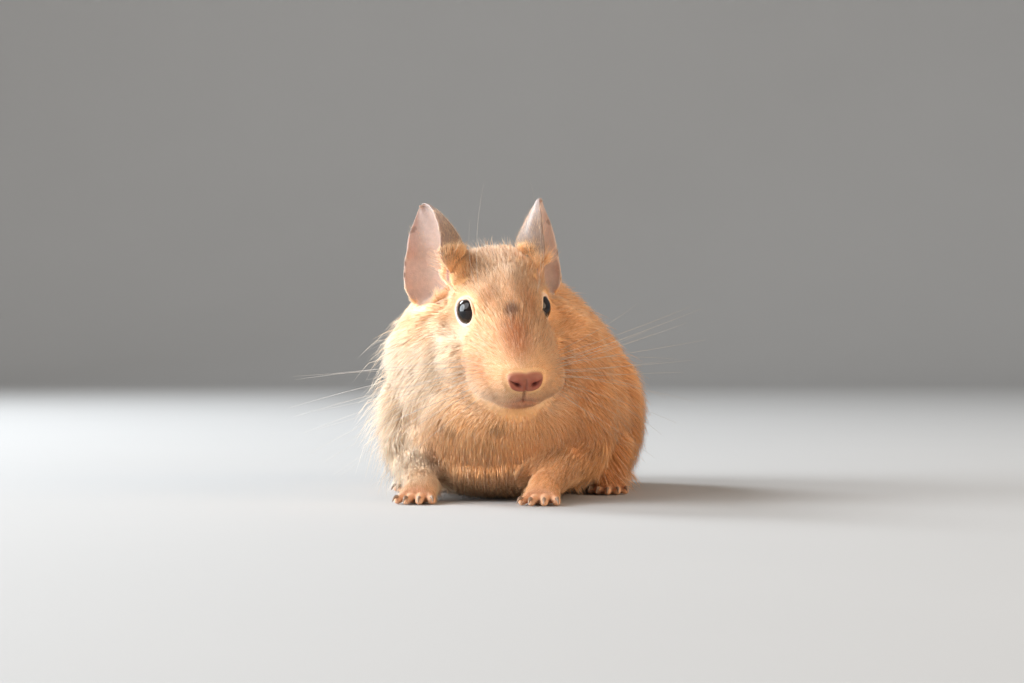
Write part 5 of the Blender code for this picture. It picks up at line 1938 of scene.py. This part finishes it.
class StrandTree:
    """Geometry Nodes that turn lines into closed tapered strands."""

    @staticmethod
    @cache
    def build() -> bpy.types.NodeTree:
        """The tree, made on first use.

        Returns:
            The tree, whose inputs have plain names.
        """
        values = {"Root Radius": "Float", "Tip Share": "Float", "Sides": "Int", "Steps": "Int"}
        inputs = {"Geometry": "Geometry"} | values | {"Finish": "Material"}
        graph, given = Graph.group("tapered_strands", "Geometry", inputs, ("Geometry", "Geometry"))
        lines = graph.add("GeometryNodeMeshToCurve", {"Mesh": given["Geometry"]}).outputs[0]
        even = graph.add("GeometryNodeResampleCurve", {"Curve": lines, "Count": given["Steps"]}).outputs[0]
        along = graph.math("POWER", graph.add("GeometryNodeSplineParameter").outputs["Factor"], 1.4)
        taper = graph.add("ShaderNodeMapRange", {"Value": along, "To Min": 1, "To Max": given["Tip Share"]})
        girth = graph.add("GeometryNodeInputNamedAttribute", {"Name": "girth"}, data_type="FLOAT")
        scale = graph.math("MULTIPLY", taper.outputs["Result"], girth.outputs["Attribute"])
        scale = graph.math("MULTIPLY", scale, given["Root Radius"])
        ring = graph.add("GeometryNodeCurvePrimitiveCircle", {"Resolution": given["Sides"], "Radius": 1.0})
        sockets = {"Curve": even, "Profile Curve": ring.outputs[0], "Scale": scale, "Fill Caps": True}
        body = graph.add("GeometryNodeCurveToMesh", sockets).outputs[0]
        whole = graph.add("GeometryNodeRealizeInstances", {"Geometry": body}).outputs[0]
        dressed = graph.add("GeometryNodeSetMaterial", {"Geometry": whole, "Material": given["Finish"]})
        graph.add("NodeGroupOutput", {"Geometry": dressed.outputs[0]})
        return graph.tree

    @classmethod
    def grow(cls, name: str, lines: list[Array], girths: list[float], values: dict) -> Object:
        """Makes one plain mesh of strands.

        Args:
            name: The piece's name.
            lines: Points of each strand, root first, in millimetres.
            girths: Each strand's girth as a share of the root radius.
            values: The tree's inputs by name.

        Returns:
            The piece in metres.
        """
        edges, start = [], 0
        for line in lines:
            edges += [(start + i, start + i + 1) for i in range(len(line) - 1)]
            start += len(line)
        obj = mesh_object(name, np.vstack(lines) * MM, [], edges)
        store(obj.data, "girth", np.repeat(girths, [len(line) for line in lines]))
        tree = cls.build()
        modifier = obj.modifiers.new("Strands", "NODES")
        modifier.node_group = tree
        for item in tree.interface.items_tree:
            if item.in_out == "INPUT" and item.name in values:
                modifier[item.identifier] = values[item.name]
        settle(obj)
        outward(obj)
        obj.data.shade_smooth()
        return obj


@dataclass
class Whiskers:
    """Rows of whiskers on both pads and the long hairs over the eyes."""

    places: Places
    finish: HornFinish
    rows: int = 5
    in_row: int = 6
    seed: int = 12

    def lines(self) -> tuple[list[Array], list[float]]:
        """Points and girth of every whisker."""
        rng = np.random.default_rng(self.seed)
        lines, girths = [], []
        for side in (-1, 1):
            for row in range(self.rows):
                for i in range(self.in_row):
                    row_at, i_at = row * 2 / (self.rows - 1), i * 2 / (self.in_row - 1)
                    root = (8.4 + 0.6 * i_at - 0.5 * row_at, 19.6 - 3.6 * i_at, -5.8 - 2.7 * row_at)
                    rise = (0.38 - 0.43 * row_at) if side > 0 else (-0.02 - 0.28 * row_at)
                    way = (1, 0.16 - 0.36 * i_at, rise - 0.2 * i_at)
                    length = 40.0 + 7.5 * i_at - 2.0 * row_at
                    if (row + i) % 2:
                        length *= rng.uniform(0.55, 0.8)
                    way = np.array(way) + 0.05 * rng.normal(0, 1, 3)
                    bend = np.array((-0.05, -0.20, -0.12 - 0.03 * row_at)) + 0.03 * rng.normal(0, 1, 3)
                    lines.append(self.line(side, root, way, length, bend))
                    girths.append(0.6 + 0.4 * length / 50)
            lines.append(self.line(side, (7.4, 1.4, 6.4), (0.16, -0.22, 0.95), 26, (-0.22, -0.16, 0)))
            lines.append(self.line(side, (7.9, 0.2, 6.2), (0.30, -0.30, 0.9), 17, (-0.25, -0.2, 0)))
            girths += [0.75, 0.55]
        return lines, girths

    def line(self, side: int, root: tuple, way: tuple, length: float, bend: tuple) -> Array:
        """Points of one whisker in the world."""
        share = np.linspace(-0.05, 1, 14)[:, None]
        way = unit(np.array(way, float))
        points = np.array(root) + way * length * share
        points = points + np.array(bend) * length * np.maximum(share, 0) ** 2
        return moved(points * (side, 1, 1), self.places.head())

    def build(self) -> Object:
        """Grows the whiskers as one piece."""
        lines, girths = self.lines()
        values = {"Root Radius": 0.00005, "Tip Share": 0.3, "Sides": 6, "Steps": 18}
        return StrandTree.grow("whiskers", lines, girths, values | {"Finish": self.finish.material()})


@dataclass
class Claws:
    """A short curved claw at the end of each finger and toe."""

    places: Places
    feet: tuple
    finish: HornFinish
    length: float = 2.5

    def build(self) -> Object:
        """Grows the claws as one piece."""
        share = np.linspace(0, 1, 7)[:, None]
        lines = []
        for foot in self.feet:
            for root, heading, length in foot.digits():
                start = root + heading * (length * 0.86) + np.array((0, 0, 0.75))
                points = start + heading * (self.length * share)
                points = points + np.array((0, 0, 1)) * (0.5 * np.sin(share * math.pi * 0.8) - 1.3 * share**2)
                points[:, 2] = np.maximum(points[:, 2], 0.2)
                lines.append(moved(points, self.places.trunk()))
        values = {"Root Radius": 0.00052, "Tip Share": 0.14, "Sides": 10, "Steps": 9}
        made = StrandTree.grow("claws", lines, [1] * len(lines), values | {"Finish": self.finish.material()})
        low = points_of(made.data)
        low[:, 2] = np.maximum(low[:, 2], 0.00002)
        set_points(made.data, low)
        return made


@dataclass
class Eye:
    """One eyeball with its cornea standing a little proud."""

    socket: EyeSocket
    places: Places
    finish: EyeFinish

    def build(self, name: str) -> Object:
        """Makes the eyeball.

        Args:
            name: The piece's name.

        Returns:
            The eye in metres, dressed.
        """
        ball = ellipsoid(name, (0, 0, 0), (1, 1, 1), 60)
        points = unit(points_of(ball.data))
        spread = np.arccos(np.clip(points[:, 2], -1, 1))
        radius = (self.socket.radius - 0.08) * (1 + 0.022 * ramp(0.95, 0, spread))
        axis = self.socket.axis()
        across = unit(np.cross(axis, (0, 0, 1)))
        basis = np.stack([across, np.cross(axis, across), axis], axis=1)
        placed_points = self.socket.ball() + (points * radius[:, None]) @ basis.T
        set_points(ball.data, moved(placed_points, self.places.head()) * MM)
        store(ball.data, "spread", spread.clip(0, 1))
        ball.data.materials.append(self.finish.material())
        outward(ball)
        ball.data.shade_smooth()
        return ball


@dataclass
class Studio:
    """The pale floor with its curved back, the lights and the camera."""

    finish: FloorFinish
    half_width: float = 3.0
    front: float = -2.2
    back: float = 1.6
    bend: float = 0.7
    height: float = 2.6

    def floor(self) -> Object:
        """The floor, which curves up behind the animal."""
        profile = [(self.front, 0), (0, 0)]
        for i in range(13):
            turn = math.radians(90 * i / 12)
            profile.append((self.back + self.bend * math.sin(turn), self.bend * (1 - math.cos(turn))))
        profile.append((self.back + self.bend, self.height))
        points = [(x, y, z) for x in (-self.half_width, self.half_width) for y, z in profile]
        count = len(profile)
        faces = [(i, i + count, i + count + 1, i + 1) for i in range(count - 1)]
        made = mesh_object("floor", np.array(points), faces)
        made.data.materials.append(self.finish.material())
        made.data.shade_smooth()
        return made

    def light(self, name: str, place: tuple, size: float, power: float, colour: tuple) -> None:
        """One soft lamp that looks at the animal."""
        lamp = bpy.data.lights.new(name, "AREA")
        lamp.shape = "DISK"
        lamp.size = size
        lamp.energy = power
        lamp.color = colour
        obj = linked(name, lamp)
        obj.location = place
        aim = Vector((0, -0.02, 0.035)) - Vector(place)
        obj.rotation_euler = aim.to_track_quat("-Z", "Y").to_euler()

    def lights(self) -> None:
        """A cool key from its right and behind, a warm fill from its left."""
        self.light("key", (-1.02, -0.66, 0.73), 1, 11, (0.97, 0.98, 1))
        self.light("side", (-1.1, -0.1, 0.3), 0.9, 24, (0.88, 0.94, 1))
        self.light("rim", (-0.75, 0.65, 0.7), 0.45, 13, (0.88, 0.94, 1))
        self.light("fill", (1, -0.5, 0.35), 0.9, 8.6, (1, 0.76, 0.53))
        world = bpy.data.worlds.new("studio")
        world.use_nodes = True
        sky = world.node_tree.nodes["Background"].inputs
        sky["Color"].default_value = (0.86, 0.85, 0.84, 1)
        sky["Strength"].default_value = 0.45
        bpy.context.scene.world = world
        bpy.context.scene.view_settings.view_transform = "Standard"

    def camera(self) -> None:
        """A long lens, level, a little above the floor, as the photograph was taken."""
        lens = bpy.data.cameras.new("camera")
        lens.lens = 85.0
        lens.sensor_width = 36.0
        lens.clip_start = 0.02
        obj = linked("camera", lens)
        obj.location = (0, -0.640, 0.040)
        obj.rotation_euler = (math.radians(90), 0, 0)
        bpy.context.scene.camera = obj


LIMBS = ("foreleg", "hind_leg", "forepaw", "hind_foot", "ear")
PAIRS = tuple(f"{limb}_{side}" for limb in LIMBS for side in ("left", "right"))
FLESH = ("head", "neck", "torso", *PAIRS, "tail_root", "tail_middle", "tail_end")


def corners(box: tuple) -> list[list[float]]:
    """The two corners of a box as plain lists."""
    return [[float(value) for value in corner] for corner in box]


def ridden(obj: Object, slot: str) -> None:
    """Makes a finished piece move with the body, and reports it."""
    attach(obj, BODY)
    LOG.info("%-16s %7d faces, finish of slot %s", obj.name, len(obj.data.polygons), slot)


def main() -> None:
    """Builds the animal piece by piece, then the studio round it."""
    logging.basicConfig(level=logging.INFO, format="%(name)s: %(message)s")
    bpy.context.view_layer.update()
    places = Places()
    tail = Tail(places)
    left_ear = {"width": 0.83, "forward_by": 0.9, "nick": 4.6}
    ears = (
        Ear(Side.RIGHT, places, math.radians(5), 0, 0),
        Ear(Side.LEFT, places, math.radians(-4.5), math.radians(-6.5), -3.6, **left_ear),
    )
    sockets = (EyeSocket(Side.RIGHT), EyeSocket(Side.LEFT))
    face = Face(places, sockets)
    feet = tuple(kind(side, places) for kind in (forepaw, hind_foot) for side in Side)
    markings = Markings(places, face, ears, tail)
    pelt = Pelt(places, face, ears, tail)

    skin = Skin(places, tail, ears, feet, face, SkinFinish())
    body = skin.build(pelt.depth)
    skin.dress(body, markings)
    unwrap = Unwrap(body)
    coat = Coat(pelt, markings, HairFinish("degu_coat"))
    for piece in coat.build(body, unwrap):
        ridden(piece, "coat")
    brush = TailBrush(pelt, markings, HairFinish("degu_tail_brush", 0.6, 0.04, 0.3, 300, 0.5, 0.1))
    for piece in brush.build(body, unwrap):
        ridden(piece, "tail_brush")
    placed(body, Matrix.Scale(MM, 4))
    ridden(body, "coat")
    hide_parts(*FLESH)

    for socket in sockets:
        name = "eye_" + socket.side.name.lower()
        eye = Eye(socket, places, EyeFinish()).build("degu_" + name)
        ridden(eye, "eye")
        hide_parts(name)
    whiskers = Whiskers(places, HornFinish("degu_whisker", (0.66, 0.58, 0.49, 1), (0.42, 0.34, 0.27, 1), 0.4))
    ridden(whiskers.build(), "coat")
    claws = Claws(places, feet, HornFinish("degu_claw", (0.36, 0.25, 0.17, 1), (0.16, 0.10, 0.07, 1)))
    ridden(claws.build(), "foot")

    studio = Studio(FloorFinish())
    studio.floor()
    studio.lights()
    studio.camera()


if __name__ == "__main__":
    main()
